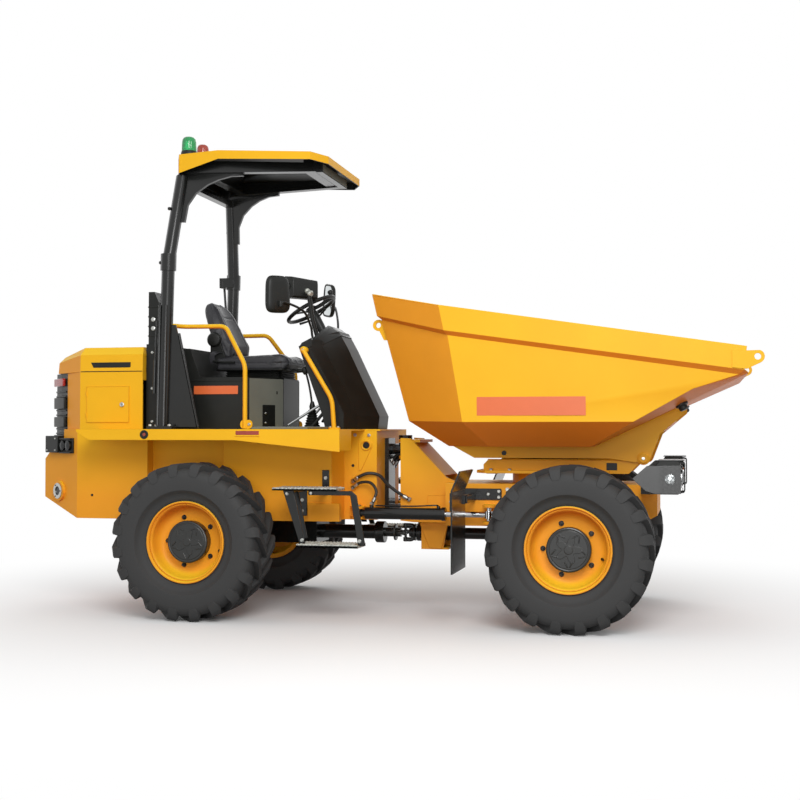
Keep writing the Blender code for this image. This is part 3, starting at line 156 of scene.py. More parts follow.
def repeated(shape, offsets):
    """The shape once at each offset: P + offset, for all of them at once."""
    points, faces = shape
    offsets = np.atleast_2d(np.array(offsets, float))
    step = len(points)
    moved = (points[None] + offsets[:, None]).reshape(-1, 3)
    return moved, [[k + n * step for k in face] for n in range(len(offsets)) for face in faces]


def square_to(axis):
    """The axis as a unit vector, with two unit vectors square to it."""
    d = np.array(axis, float) / np.linalg.norm(axis)
    aid = np.array([0.0, 0.0, 1.0]) if abs(d[2]) < 0.9 else np.array([1.0, 0.0, 0.0])
    u = np.cross(aid, d)
    u /= np.linalg.norm(u)
    return d, u, np.cross(d, u)


def turned(profile, centre, axis=(0, 1, 0), segments=48, ring=False, caps=False):
    """A profile of (radius, distance along the axis), turned about the axis through centre:
    P = centre + distance d + radius (cos a u + sin a v)."""
    d, u, v = square_to(axis)
    profile = np.array(profile, float)
    angle = 2 * math.pi * np.arange(segments) / segments
    spoke = np.cos(angle)[:, None] * u + np.sin(angle)[:, None] * v
    points = np.array(centre) + profile[:, 1, None, None] * d + profile[:, 0, None, None] * spoke[None]
    return skin(points, around=True, along=ring, caps=caps)


def spun(shape, centre, axis, count, start=0.0):
    """The shape turned about an axis to count even places, the first at start degrees:
    P = c + d (d.q) + cos a (q - d (d.q)) + sin a (d x q), with q measured from the centre c."""
    d = square_to(axis)[0]
    points, faces = shape
    q = points - np.array(centre)
    along = np.outer(q @ d, d)
    a = (np.radians(start) + 2 * math.pi * np.arange(count) / count)[:, None, None]
    moved = np.array(centre) + along + np.cos(a) * (q - along)[None] + np.sin(a) * np.cross(d, q)[None]
    step = len(points)
    return moved.reshape(-1, 3), [[k + n * step for k in face] for n in range(count) for face in faces]


def tube(path, radius, sides=10, flat=1.0):
    """A round section carried along a path: P = path(s) + r (flat cos a u + sin a v), with u and v square to
    the path and to the axis that it runs along least."""
    path = np.array(path, float)
    tangent = np.gradient(path, axis=0)
    tangent /= np.linalg.norm(tangent, axis=1)[:, None]
    aid = np.eye(3)[np.argmin(np.abs(tangent).max(0))]
    u = np.cross(aid, tangent)
    u /= np.linalg.norm(u, axis=1)[:, None]
    v = np.cross(tangent, u)
    angle = 2 * math.pi * (np.arange(sides) + 0.5) / sides
    ring = flat * np.cos(angle)[:, None] * u[:, None] + np.sin(angle)[:, None] * v[:, None]
    size = np.broadcast_to(radius, len(path))[:, None, None]
    return skin(path[:, None] + size * ring, around=True, caps=True)


def spline(points, steps=8):
    """A smooth curve through the points, after Catmull and Rom: each stretch is the cubic whose slope at an end
    is half the step between that end's neighbours."""
    p = np.array(points, float)
    p = np.concatenate([[2 * p[0] - p[1]], p, [2 * p[-1] - p[-2]]])
    t = (np.arange(steps) / steps)[None, :, None]
    a, b, c, d = (p[k : len(p) - 3 + k, None] for k in range(4))
    curve = 0.5 * (2 * b + (c - a) * t + (2 * a - 5 * b + 4 * c - d) * t**2 + (3 * b - a - 3 * c + d) * t**3)
    return np.concatenate([curve.reshape(-1, 3), p[-2:-1]])


def filleted(path, radius, steps=6):
    """The path with each corner replaced by the curve (1-t)^2 s + 2t(1-t) corner + t^2 e."""
    path = np.array(path, float)
    out = [path[:1]]
    t = (np.arange(steps + 1) / steps)[:, None]
    for before, here, after in zip(path, path[1:], path[2:]):
        to, on = before - here, after - here
        cut = min(radius, 0.45 * np.linalg.norm(to), 0.45 * np.linalg.norm(on))
        start, end = here + to / np.linalg.norm(to) * cut, here + on / np.linalg.norm(on) * cut
        out.append((1 - t) ** 2 * start + 2 * t * (1 - t) * here + t**2 * end)
    return np.concatenate(out + [path[-1:]])


def prism(outline, low, high, order=PLAN):
    """An outline (u, v) carried from low to high along the third direction; order puts them into X, Y, Z."""
    outline = np.array(outline, float)
    points = np.zeros((2, len(outline), 3))
    points[:, :, :2] = outline
    points[0, :, 2], points[1, :, 2] = low, high
    return skin(points[:, :, list(order)], around=True, caps=True)


def block(x0, x1, y0, y1, z0, z1):
    """A box: the rectangle from (x0, y0) to (x1, y1) carried from z0 to z1."""
    return prism([(x0, y0), (x1, y0), (x1, y1), (x0, y1)], z0, z1)


def rounded(u0, u1, v0, v1, radius, steps=5):
    """Outline of a rectangle whose corners are quarter circles."""
    a = np.linspace(0, math.pi / 2, steps + 1)
    corners = ((u1 - radius, v1 - radius, 0), (u0 + radius, v1 - radius, 1))
    corners += ((u0 + radius, v0 + radius, 2), (u1 - radius, v0 + radius, 3))
    parts = []
    for u, v, turn in corners:
        b = a + turn * math.pi / 2
        parts.append(np.stack([u + radius * np.cos(b), v + radius * np.sin(b)], -1))
    return np.concatenate(parts)


def lobed(radius, depth, lobes, steps=60):
    """Outline of a star with round arms: r = radius + depth cos(lobes a)."""
    a = 2 * math.pi * np.arange(steps) / steps
    r = radius + depth * np.cos(lobes * a)
    return np.stack([r * np.cos(a), r * np.sin(a)], -1)


def bolts(spots, direction, across=0.019):
    """Hexagon heads on washers: a six-sided turned shape on a round one, at each spot."""
    washer = turned(
        [(0, 0), (0.66 * across, 0), (0.66 * across, 0.13 * across), (0, 0.13 * across)], (0, 0, 0), direction,
        12
    )
    corner = across / math.sqrt(3)
    head = [(0, 0.1 * across), (corner, 0.1 * across), (corner, 0.52 * across), (0.86 * corner, 0.6 * across)]
    hexagon = turned(head + [(0, 0.6 * across)], (0, 0, 0), direction, 6)
    return repeated(together(washer, hexagon), spots)


# ---------------------------------------------------------------- objects


def mesh_of(name, points, faces, sharp):
    """A mesh with doubles merged, faces turned outwards, and only the edges over sharp degrees left hard."""
    mesh = bpy.data.meshes.new(name)
    mesh.from_pydata(points.tolist(), [], faces)
    build = bmesh.new()
    build.from_mesh(mesh)
    bmesh.ops.remove_doubles(build, verts=build.verts, dist=0.02 * MM)
    bmesh.ops.recalc_face_normals(build, faces=build.faces)
    build.to_mesh(mesh)
    build.free()
    mesh.polygons.foreach_set("use_smooth", np.ones(len(mesh.polygons), bool))
    mesh.set_sharp_from_angle(angle=math.radians(sharp))
    return mesh


def rounded_edges(obj, width):
    """Bevels in two steps the edges that turn by more than 35 degrees."""
    modifier = obj.modifiers.new("edges", "BEVEL")
    modifier.width, modifier.segments = width, 2
    modifier.limit_method, modifier.angle_limit = "ANGLE", math.radians(35)
    modifier.harden_normals = False


def make(name, shape, finish_name, body=REAR, edge=0.0, sharp=35.0):
    """A new piece from a shape given from the rear axle, that rides on the body unless it is None."""
    obj = bpy.data.objects.new(name, mesh_of(name, shape[0] + TO_FRAME, shape[1], sharp))
    bpy.context.scene.collection.objects.link(obj)
    obj.data.materials.append(finish(finish_name))
    if edge:
        rounded_edges(obj, edge)
    if body:
        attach(obj, body)
    return obj


def fasten(name, spots, direction, across, body=REAR):
    """Zinc-plated bolts at the spots, as one piece."""
    return make(name, bolts(spots, direction, across), ZINC, body)


def body_of(node):
    """The body that a CAD node rides on."""
    return frame["nodes"][node]["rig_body"]


def dress(finish_name, *nodes):
    """Gives CAD nodes that stay as they are their finish."""
    for node in nodes:
        obj = frame["nodes"][node]
        if not obj.material_slots:
            obj.data.materials.append(None)
        for slot in obj.material_slots:
            slot.link = "OBJECT"
            slot.material = finish(finish_name)


def merged(node, finish_name, sharp):
    """A copy of a CAD node with its loose triangles joined, so that its round faces shade smoothly. It stands
    for the node."""
    source = frame["nodes"][node].data
    build = bmesh.new()
    build.from_mesh(source)
    bmesh.ops.remove_doubles(build, verts=build.verts, dist=0.02 * MM)
    bmesh.ops.dissolve_limit(build, angle_limit=math.radians(0.4), verts=build.verts, edges=build.edges)
    build.verts.index_update()
    points = np.array([v.co for v in build.verts])
    faces = [[v.index for v in f.verts] for f in build.faces]
    build.free()
    obj = make(node + "_finished", (points - TO_FRAME, faces), finish_name, body_of(node), sharp=sharp)
    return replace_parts(obj, node)


# ---------------------------------------------------------------- finishes


def linear(code):
    """An sRGB hex colour as linear values: c / 12.92 below 0.04045, and ((c + 0.055) / 1.055)^2.4 above."""
    c = np.array([int(code[k : k + 2], 16) for k in (1, 3, 5)]) / 255
    return tuple(np.where(c <= 0.04045, c / 12.92, ((c + 0.055) / 1.055) ** 2.4).tolist())


def add(material, kind, inputs=(), output=None, stops=(), **settings):
    """A node with its settings; inputs maps a socket to a value, or to the output that feeds it. stops are a
    ramp's (position, colour). It gives back the output that is named, or the node."""
    tree = material.node_tree
    node = tree.nodes.new(kind)
    for key, value in settings.items():
        setattr(node, key, value)
    for key, value in dict(inputs).items():
        if isinstance(value, bpy.types.NodeSocket):
            tree.links.new(value, node.inputs[key])
        else:
            node.inputs[key].default_value = value
    for position, _ in stops[2:]:
        node.color_ramp.elements.new(position)
    for element, (position, colour) in zip(node.color_ramp.elements if stops else (), stops):
        element.position, element.color = position, (*colour, 1.0)
    return node if output is None else node.outputs[output]


def scaled(colour, by):
    """The colour times by, each part held to 1 at most."""
    return tuple(min(1.0, c * by) for c in colour)


def surface(material, shader, tone, height, depth, radius):
    """The colour, and bump of a real depth over a rounded normal, so that hard CAD edges catch the light."""
    soft = add(material, "ShaderNodeBevel", {"Radius": radius}, "Normal", samples=4)
    bump = add(
        material, "ShaderNodeBump", {"Height": height, "Distance": depth, "Strength": 1.0, "Normal": soft},
        "Normal"
    )
    material.node_tree.links.new(tone, shader.inputs["Base Color"])
    material.node_tree.links.new(bump, shader.inputs["Normal"])


def paint_and_painted_light_pattern(material, shader):
    """Two-pack enamel sprayed on steel plate, with painted light and shade in its colour: a lighter yellow high
    up and on faces that look up, as painted light, and a deeper orange low down and on faces that look back or
    down, as painted shade. Faint clouding over half a metre, and orange peel, drawn at 5 mm so that it shows."""
    colours = bpy.context.scene.dumper_paint
    at = add(material, "ShaderNodeTexCoord", (), "Object")
    normal = add(material, "ShaderNodeTexCoord", (), "Normal")
    facing = add(material, "ShaderNodeSeparateXYZ", {"Vector": normal}, "Z")
    share = add(material, "ShaderNodeMapRange", {"Value": facing, "From Min": -1.0, "From Max": 1.0}, "Result")
    # Painted shade: upright faces turn from the side colour to the deeper low colour between 1.25 m and 0.8 m
    height = add(material, "ShaderNodeSeparateXYZ", {"Vector": at}, "Z")
    raised = add(material, "ShaderNodeMapRange", {"Value": height, "From Min": 0.8, "From Max": 1.25}, "Result")
    stops = [(0.0, tuple(colours.low)), (1.0, tuple(colours.side))]
    side = add(material, "ShaderNodeValToRGB", {"Fac": raised}, "Color", stops)
    # Painted shade: faces that look back take the low colour
    ahead = add(material, "ShaderNodeSeparateXYZ", {"Vector": normal}, "X")
    behind = add(
        material, "ShaderNodeMapRange", {"Value": ahead, "From Min": -0.15, "From Max": -0.6}, "Result"
    )
    side = add(material, "ShaderNodeMix", {0: behind, 6: side, 7: (*colours.low, 1.0)}, 2, data_type="RGBA")
    # Painted shade on faces that look down (under colour), and a painted highlight on faces that look up (top
    # colour)
    down = add(material, "ShaderNodeMapRange", {"Value": share, "From Min": 0.46, "From Max": 0.1}, "Result")
    up = add(material, "ShaderNodeMapRange", {"Value": share, "From Min": 0.6, "From Max": 1.0}, "Result")
    under = (*colours.under, 1.0)
    base = add(material, "ShaderNodeMix", {0: down, 6: side, 7: under}, 2, data_type="RGBA")
    base = add(material, "ShaderNodeMix", {0: up, 6: base, 7: (*colours.top, 1.0)}, 2, data_type="RGBA")
    clouds = add(material, "ShaderNodeTexNoise", {"Vector": at, "Scale": 1 / 0.45, "Detail": 3.0}, "Fac")
    cloud = add(
        material, "ShaderNodeValToRGB", {"Fac": clouds}, "Color", [(0.3, (0.93,) * 3), (0.7, (1.0,) * 3)]
    )
    tone = add(
        material, "ShaderNodeMix", {0: 1.0, 6: base, 7: cloud}, 2, data_type="RGBA", blend_type="MULTIPLY"
    )
    peel = add(material, "ShaderNodeTexNoise", {"Vector": at, "Scale": 1 / (5 * MM)}, "Fac")
    surface(material, shader, tone, peel, 0.02 * MM, 4 * MM)


def grain_pattern(colour, size, depth, spread=0.25, radius=2 * MM, patch=0.12):
    """A finish of one colour that varies by spread over patches, with a grain of real size and depth."""

    def pattern(material, shader):
        """Adds the finish's colour and grain to the material."""
        at = add(material, "ShaderNodeTexCoord", (), "Object")
        patches = add(material, "ShaderNodeTexNoise", {"Vector": at, "Scale": 1 / patch, "Detail": 4.0}, "Fac")
        base = linear(colour)
        stops = [(0.25, scaled(base, 1 - spread)), (0.75, scaled(base, 1 + spread))]
        tone = add(material, "ShaderNodeValToRGB", {"Fac": patches}, "Color", stops)
        grain = add(material, "ShaderNodeTexNoise", {"Vector": at, "Scale": 1 / size}, "Fac")
        surface(material, shader, tone, grain, depth, radius)

    return pattern


def spangle_pattern(material, shader):
    """Hot-dip zinc: crystals about 9 mm across, each its own shade of grey, with a dull bloom over them."""
    at = add(material, "ShaderNodeTexCoord", (), "Object")
    cells = add(material, "ShaderNodeTexVoronoi", {"Vector": at, "Scale": 1 / (9 * MM)}, "Color")
    grey = add(material, "ShaderNodeRGBToBW", {"Color": cells}, "Val")
    stops = [(0.2, linear("#A4A7A0")), (0.8, linear("#D9DBD2"))]
    tone = add(material, "ShaderNodeValToRGB", {"Fac": grey}, "Color", stops)
    surface(material, shader, tone, grey, 0.05 * MM, 1.5 * MM)


def braid_pattern(material, shader):
    """Cloth-wrapped hose rubber: a fine cross weave, drawn at 3 mm so that it shows."""
    at = add(material, "ShaderNodeTexCoord", (), "Object")
    wave = {"Vector": at, "Scale": 1 / (9 * MM), "Distortion": 1.0}
    weave = add(material, "ShaderNodeTexWave", wave, "Fac", bands_direction="DIAGONAL")
    stops = [(0.2, linear("#1C1C1B")), (0.8, linear("#2B2B29"))]
    tone = add(material, "ShaderNodeValToRGB", {"Fac": weave}, "Color", stops)
    surface(material, shader, tone, weave, 0.1 * MM, 1 * MM)


# name: (what sets its sockets, its pattern)
FINISHES = {
    # Two-pack polyurethane enamel on plate: even gloss under a clear film, with painted light and shade in its
    # colour
    "sprayed_yellow_enamel_with_painted_light": (
        {"Roughness": 0.45, "Specular IOR Level": 0.2, "Coat Weight": 0.03, "Coat Roughness": 0.2},
        paint_and_painted_light_pattern
    ),
    # Epoxy powder baked on steel: a satin black with a slight skin
    "powder_coated_black": (
        {"Specular IOR Level": 0.3, "Roughness": 0.27, "Coat Weight": 0.3, "Coat Roughness": 0.1},
        grain_pattern("#131413", 2.5 * MM, 0.03 * MM)
    ),
    # Injection-moulded black polyethylene: fine leather grain, low gloss
    "moulded_black_plastic": (
        {"Specular IOR Level": 0.3, "Roughness": 0.42}, grain_pattern("#181917", 2 * MM, 0.06 * MM)
    ),
    # Textured paint on pressed panels: mid grey, matt
    "textured_grey_paint": ({"Roughness": 0.6}, grain_pattern("#6C6D64", 2 * MM, 0.08 * MM, 0.08)),
    # Vulcanised carbon-black rubber: matt, with a dusty bloom
    "tyre_rubber": ({"Roughness": 0.55}, grain_pattern("#2A2C29", 6 * MM, 0.2 * MM, 0.2, 4 * MM)),
    # Hot-dip galvanised sheet: spangled grey
    "galvanised_steel": ({"Roughness": 0.42, "Metallic": 0.6}, spangle_pattern),
    # Hard chrome on a ground rod: bright, with faint grinding marks
    "chromed_rod": ({"Roughness": 0.14, "Metallic": 1.0}, grain_pattern("#C9CBCC", 1 * MM, 0.005 * MM, 0.04)),
    # Bright zinc on fasteners
    "zinc_plated_steel": (
        {"Roughness": 0.32, "Metallic": 1.0}, grain_pattern("#B9BAB6", 3 * MM, 0.02 * MM, 0.1, 1 * MM)
    ),
    # PVC-coated cloth: leather grain, soft sheen
    "seat_vinyl": (
        {"Roughness": 0.42, "Sheen Weight": 0.05}, grain_pattern("#171817", 3 * MM, 0.25 * MM, 0.2, 2 * MM)
    ),
    # Grey-iron castings, painted dark: sand-cast skin
    "painted_cast_iron": (
        {"Roughness": 0.36, "Coat Weight": 0.2}, grain_pattern("#191A18", 4 * MM, 0.25 * MM, 0.2, 3 * MM)
    ),
    # Extruded nitrile hose
    "hose_rubber": ({"Roughness": 0.5}, braid_pattern),
    # Printed film stuck on paint, with no print on it
    "orange_film": ({"Roughness": 0.35}, grain_pattern("#DE6B38", 3 * MM, 0.01 * MM, 0.03, 1 * MM)),
    # Moulded polycarbonate lenses, dyed through
    "green_polycarbonate": (
        {"Roughness": 0.12, "Transmission Weight": 0.45, "IOR": 1.58},
        grain_pattern("#1FA45B", 12 * MM, 0.05 * MM, 0.1, 1 * MM)
    ),
    "amber_polycarbonate": (
        {"Roughness": 0.15, "Transmission Weight": 0.3, "IOR": 1.58},
        grain_pattern("#B0402B", 12 * MM, 0.05 * MM, 0.1, 1 * MM)
    ),
    "red_polycarbonate": (
        {"Roughness": 0.15, "Transmission Weight": 0.2, "IOR": 1.58},
        grain_pattern("#B3201C", 4 * MM, 0.2 * MM, 0.1, 1 * MM)
    ),
    # Pressed lamp glass over a bright reflector
    "lamp_glass": (
        {"Roughness": 0.08, "Metallic": 0.6}, grain_pattern("#D8DDDE", 8 * MM, 0.4 * MM, 0.05, 1 * MM)
    ),
    # Silvered flat glass
    "mirror_glass": (
        {"Roughness": 0.03, "Metallic": 1.0}, grain_pattern("#D3D8D8", 60 * MM, 0.002 * MM, 0.02, 1 * MM)
    ),
    # Coated display glass, switched off
    "dark_glass": ({"Roughness": 0.08}, grain_pattern("#101314", 60 * MM, 0.002 * MM, 0.1, 1 * MM)),
}


def finish(name):
    """The material of that name, made when it is first asked for."""
    found = bpy.data.materials.get(name)
    if found:
        return found
    material = bpy.data.materials.new(name)
    material.use_nodes = True
    shader = material.node_tree.nodes["Principled BSDF"]
    sockets, pattern = FINISHES[name]
    for key, value in sockets.items():
        shader.inputs[key].default_value = value
    pattern(material, shader)
    return material


# ---------------------------------------------------------------- wheels


def tyre_shape(centre, side, lugs, width):
    """A carcass turned from its section, with a block lug every 360/lugs degrees on each shoulder. A lug is a
    four-cornered section carried from the sidewall over the shoulder to the middle of the tread, while it turns
    forward by (shoulder y - y) tan 42 / radius."""
    section = [
        (0.258, 0.148), (0.284, 0.15), (0.292, 0.157), (0.305, 0.1605), (0.322, 0.167), (0.337, 0.179),
        (0.347, 0.193), (0.354, 0.2005), (0.364, 0.2022), (0.4, TYRE_HALF), (0.438, 0.2018), (0.458, 0.198),
        (0.476, 0.189), (0.49, 0.174), (0.499, 0.15), (0.503, 0.1), (0.504, 0.0),
    ]
    whole = section + [(r, -y) for r, y in section[-2::-1]]
    carcass = turned([(r, side * y) for r, y in whole], centre, (0, 1, 0), 96, ring=True)
    top = np.array([
        (0.449, 0.2021), (0.462, 0.2018), (0.482, 0.196), (0.505, 0.1905), (0.522, 0.179), (0.5365, 0.16),
        (TYRE_RADIUS, 0.11), (TYRE_RADIUS, 0.05), (0.5368, 0.000), (0.533, -0.022), (0.508, -0.03),
    ])
    base = np.array([
        (0.447, 0.196), (0.456, 0.191), (0.47, 0.184), (0.484, 0.172), (0.494, 0.154), (0.498, 0.14),
        (0.5, 0.1), (0.5, 0.05), (0.5, 0.000), (0.5, -0.022), (0.5, -0.03),
    ])
    half = np.array([0.02, 0.027, 0.031, 0.033, 0.034, 0.033, 0.029, 0.026, 0.024, 0.021, 0.018]) * width / 0.03
    sweep = np.maximum(0.172 - top[:, 1], 0.0) * math.tan(math.radians(42)) / TYRE_RADIUS
    corners = [(base, -half - 0.007), (top, -half), (top, half), (base, half + 0.007)]
    angle = np.stack([sweep + reach / place[:, 0] for place, reach in corners], 1)
    radius = np.stack([place[:, 0] for place, _ in corners], 1)
    out = np.stack([place[:, 1] for place, _ in corners], 1)
    points = np.stack([radius * np.sin(angle), out, radius * np.cos(angle)], -1)
    lug = skin(points, around=True, caps=True)
    parts = [carcass]
    for hand, start in ((1, 0.0), (-1, 180.0 / lugs)):
        one = (lug[0] * [1.0, hand, 1.0] + centre, lug[1])
        parts.append(spun(one, centre, (0, 1, 0), lugs, start))
    return together(*parts)


def rim_shape(centre, side):
    """A rim and its dished disc, turned from one section that starts and ends on the axle."""
    section = [
        (0.0, 0.02), (0.205, 0.02), (0.243, -0.02), (0.243, -0.158), (0.25, -0.165), (0.2795, -0.165),
        (0.2795, -0.151), (0.256, -0.151), (0.256, 0.151), (0.278, 0.151), (0.28, 0.154), (0.28, 0.161),
        (0.2775, 0.165), (0.27, 0.165), (0.2655, 0.16), (0.262, 0.151), (0.254, 0.147), (0.2475, 0.14),
        (0.245, 0.128), (0.243, 0.1), (0.2385, 0.078), (0.23, 0.062), (0.22, 0.052), (0.208, 0.0455),
        (0.19, 0.042), (0.0, 0.04),
    ]
    return turned([(r, side * y) for r, y in section], centre, (0, 1, 0), 72)


def hub_shape(centre, side):
    """A cast hub cover: a turned drum with a five-armed raised star and a groove round it."""
    drum = [
        (0.0, 0.03), (0.141, 0.03), (0.141, 0.1), (0.1445, 0.104), (0.1445, 0.114), (0.141, 0.1195),
        (0.133, 0.1225), (0.1285, 0.1205), (0.124, 0.1205), (0.121, 0.1235), (0.0, 0.1235),
    ]
    body = turned([(r, side * y) for r, y in drum], centre, (0, 1, 0), 60)
    star = prism(lobed(0.066, 0.026, 5), side * 0.12, side * 0.1272, SIDE)
    cup = turned(
        [(0.0, side * 0.124), (0.03, side * 0.124), (0.026, side * 0.13), (0.0, side * 0.1305)], centre,
        (0, 1, 0), 24
    )
    ribs = []
    for turn in (-1, 1):
        path = np.array([(0.006 * turn, side * 0.1245, 0.112), (0.026 * turn, side * 0.1245, 0.076)])
        ribs.append(spun(tube(path + centre, 0.0042, 6), centre, (0, 1, 0), 5, 36.0))
    return together(body, (star[0] + centre, star[1]), cup, *ribs)


def wheels():
    """Four tyres, rims and hubs, with five studs and a valve on each rim."""
    sizes = bpy.context.scene.dumper_tyre
    for end, x in (("rear", 0.0), ("front", WHEELBASE)):
        for name, side in SIDES.items():
            centre = np.array([x, box_middle(f"tyre_{end}_{name}")[1], TYRE_RADIUS])
            body = f"wheel_{end}_{name}"
            tyre = make(
                f"tyre_{end}_{name}_lugged", tyre_shape(centre, side, sizes.lugs, sizes.lug_width),
                "tyre_rubber", body, sharp=28.0
            )
            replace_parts(tyre, f"tyre_{end}_{name}")
            rim = make(f"rim_{end}_{name}", rim_shape(centre, side), ENAMEL_WITH_PAINTED_LIGHT, body, sharp=40.0)
            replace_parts(rim, f"wheel_{end}_{name}")
            make(f"hub_{end}_{name}", hub_shape(centre, side), IRON, body, edge=0.0008, sharp=30.0)
            nut = bolts([(0, 0, 0)], (0, side, 0), 0.027)
            stud = turned(
                [(0, 0), (0.0085, 0), (0.0085, 0.028), (0.006, 0.031), (0, 0.031)], (0, 0, 0), (0, side, 0), 12
            )
            seat = centre + [0.171, side * 0.0405, 0.0]
            fixing = together(repeated(nut, [seat]), repeated(stud, [seat]))
            make(f"wheel_nuts_{end}_{name}", spun(fixing, centre, (0, 1, 0), 5, 180.0), BLACK, body)
            at = centre + [0.206, side * 0.05, -0.06]
            valve = turned(
                [(0, 0), (0.009, 0), (0.009, 0.012), (0.005, 0.018), (0.005, 0.034), (0, 0.035)], at,
                (0.35, side, -0.1), 12
            )
            make(f"valve_{end}_{name}", valve, PLASTIC, body)


# ---------------------------------------------------------------- chassis


def facet(points, low, high, out):
    """A plate along a plan line, out from it: the line and its copy moved square to it, carried from low to
    high."""
    line = np.array(points, float)
    step = np.gradient(line, axis=0)
    side = np.stack([step[:, 1], -step[:, 0]], -1) / np.linalg.norm(step, axis=1)[:, None]
    return prism(np.concatenate([line, (line + out * side)[::-1]]), low, high)


def chassis():
    """Both frames, the deck and the axles, with their ports, plugs, reflectors, lamps and bolts."""
    dress(ENAMEL_WITH_PAINTED_LIGHT, "rear_frame", "deck", "front_frame")
    dress(BLACK, "centre_pivot")
    merged("rear_axle", BLACK, 40.0)
    merged("front_axle", BLACK, 40.0)
    for name, s in SIDES.items():
        port, away = np.array([-1.215, s * 0.5186, 0.85]), np.array([-0.5397, s * 0.8418, 0.0])
        ring = [
            (0.033, 0.0155), (0.033, 0.0235), (0.036, 0.0255), (0.055, 0.0255), (0.058, 0.0235), (0.058, 0.0155)
        ]
        make(f"port_ring_{name}", turned(ring, port, away, 40, ring=True), ZINC)
        # Painted shade: a black disc stands in for the shade inside the port's bore
        bore_shade = turned([(0, 0.012), (0.0345, 0.012), (0.0345, 0.0165), (0, 0.0165)], port, away, 32)
        spot = port + away * 0.0252
        u = np.array([away[1], -away[0], 0.0])
        angles = np.radians([60, 180, 300])
        heads = [spot + 0.046 * (math.cos(a) * u + math.sin(a) * np.array([0, 0, 1.0])) for a in angles]
        make(f"port_bolts_and_bore_shade_{name}", together(bolts(heads, away, 0.008), bore_shade), BLACK)
        plug = turned(
            [(0, 0), (0.0095, 0), (0.0085, 0.003), (0, 0.0035)], (-0.891, s * 0.6497, 0.828), (0, s, 0), 20
        )
        make(f"frame_plug_{name}", plug, PLASTIC)
        cap = [(0, 0), (0.031, 0), (0.031, 0.003), (0.026, 0.0045), (0.018, 0.002), (0, 0.002)]
        make(f"skirt_cap_{name}", turned(cap, (-0.328, s * 0.9998, 1.268), (0, s, 0), 24), PLASTIC)
        make(
            f"skirt_cap_centre_{name}",
            turned(
                [(0, 0), (0.013, 0), (0.011, 0.003), (0, 0.0035)], (-0.328, s * 1.0012, 1.268), (0, s, 0), 16
            ),
            "amber_polycarbonate"
        )
        reflector = prism(rounded(0.34, 0.506, 1.266, 1.293, 0.003), s * 0.9997, s * 1.0028, SIDE)
        make(f"skirt_reflector_{name}", reflector, "amber_polycarbonate", edge=0.0008)
        lip = tube([(0.336, s * 0.9995, 1.258), (0.509, s * 0.9995, 1.258)], 0.005, 8)
        make(f"reflector_lip_{name}", lip, ENAMEL_WITH_PAINTED_LIGHT)
        # Lamp cluster on the chassis corner below the grille
        out, along = np.array([-0.5341, s * 0.8454, 0.0]), np.array([0.8454, s * 0.5341, 0.0])
        start = np.array([-1.34, s * 0.441, 0.0])

        def by_corner(a0, a1, d0, d1, z0, z1):
            """A block along the slanted corner, a metres along it and d out of it."""
            points, faces = block(a0, a1, d0, d1, z0, z1)
            return start + points[:, :1] * along + points[:, 1:2] * out + points[:, 2:] * [0, 0, 1.0], faces

        case = [
            by_corner(0.0, 0.175, -0.02, 0.04, 1.132, 1.256), by_corner(0.175, 0.345, -0.02, 0.012, 1.128, 1.24)
        ]
        case += [by_corner(0.182, 0.34, 0.012, 0.034, z, z + 0.012) for z in (1.128, 1.228)]
        make(f"corner_lamp_case_{name}", together(*case), PLASTIC, edge=0.004)
        rounds, rims = [], []
        for place in (0.218, 0.295):
            at = start + place * along + 0.012 * out + [0, 0, 1.185]
            rounds.append(turned([(0, 0), (0.03, 0), (0.03, 0.016), (0.022, 0.024), (0, 0.028)], at, out, 24))
            rims.append(turned([(0.03, 0), (0.036, 0), (0.036, 0.018), (0.03, 0.02)], at, out, 24, ring=True))
        make(f"corner_lamp_glass_{name}", together(*rounds), "dark_glass", sharp=40.0)
        make(f"corner_lamp_rims_{name}", together(*rims), BLACK, sharp=40.0)
        spots = [
            start + a * along + 0.04 * out + [0, 0, z] for a, z in ((0.145, 1.15), (0.145, 1.236), (0.03, 1.15))
        ]
        fasten(f"corner_lamp_bolts_{name}", spots, out, 0.011)
    # Lifting eye and bolts on the nose, and the front frame's bolts and seams
    for name, s in SIDES.items():
        arc = np.radians(np.linspace(100, -40, 15))
        eye = np.stack([1.082 + 0.047 * np.cos(arc), 1.192 + 0.047 * np.sin(arc)], -1)
        drop = np.concatenate([[(1.026, 1.008), (1.024, 1.236)], eye, [(1.046, 1.01)]])
        make(f"nose_eye_{name}", prism(drop, s * 0.339, s * 0.3465, SIDE), ENAMEL_WITH_PAINTED_LIGHT, edge=0.002)
        ring = turned(
            [(0.024, 0.0), (0.026, 0.007), (0.032, 0.01), (0.038, 0.007), (0.04, 0.0)],
            (1.083, s * 0.346, 1.19), (0, s, 0), 32, ring=True
        )
        make(f"nose_ring_{name}", ring, ENAMEL_WITH_PAINTED_LIGHT)
        # Painted shade: black discs stand in for the shade inside the eye's hole and a small hole near it
        hole_shade = turned(
            [(0, 0), (0.024, 0), (0.023, 0.002), (0, 0.0022)], (1.083, s * 0.3463, 1.19), (0, s, 0), 24
        )
        small_hole_shade = turned(
            [(0, 0), (0.011, 0), (0.01, 0.003), (0, 0.003)], (0.984, s * 0.3398, 1.045), (0, s, 0), 18
        )
        make(f"nose_hole_shades_{name}", together(hole_shade, small_hole_shade), PLASTIC)
        spots = [(0.999, s * 0.3399, 1.264), (1.102, s * 0.3399, 1.262)]
        fasten(f"nose_bolts_{name}", spots, (0, s, 0), 0.019)
        frame_spots = [(x, s * 0.3552, 0.885) for x in (1.76, 2.1, 2.3, 2.75, 2.9)]
        fasten(f"beam_bolts_{name}", frame_spots, (0, s, 0), 0.022, AHEAD)
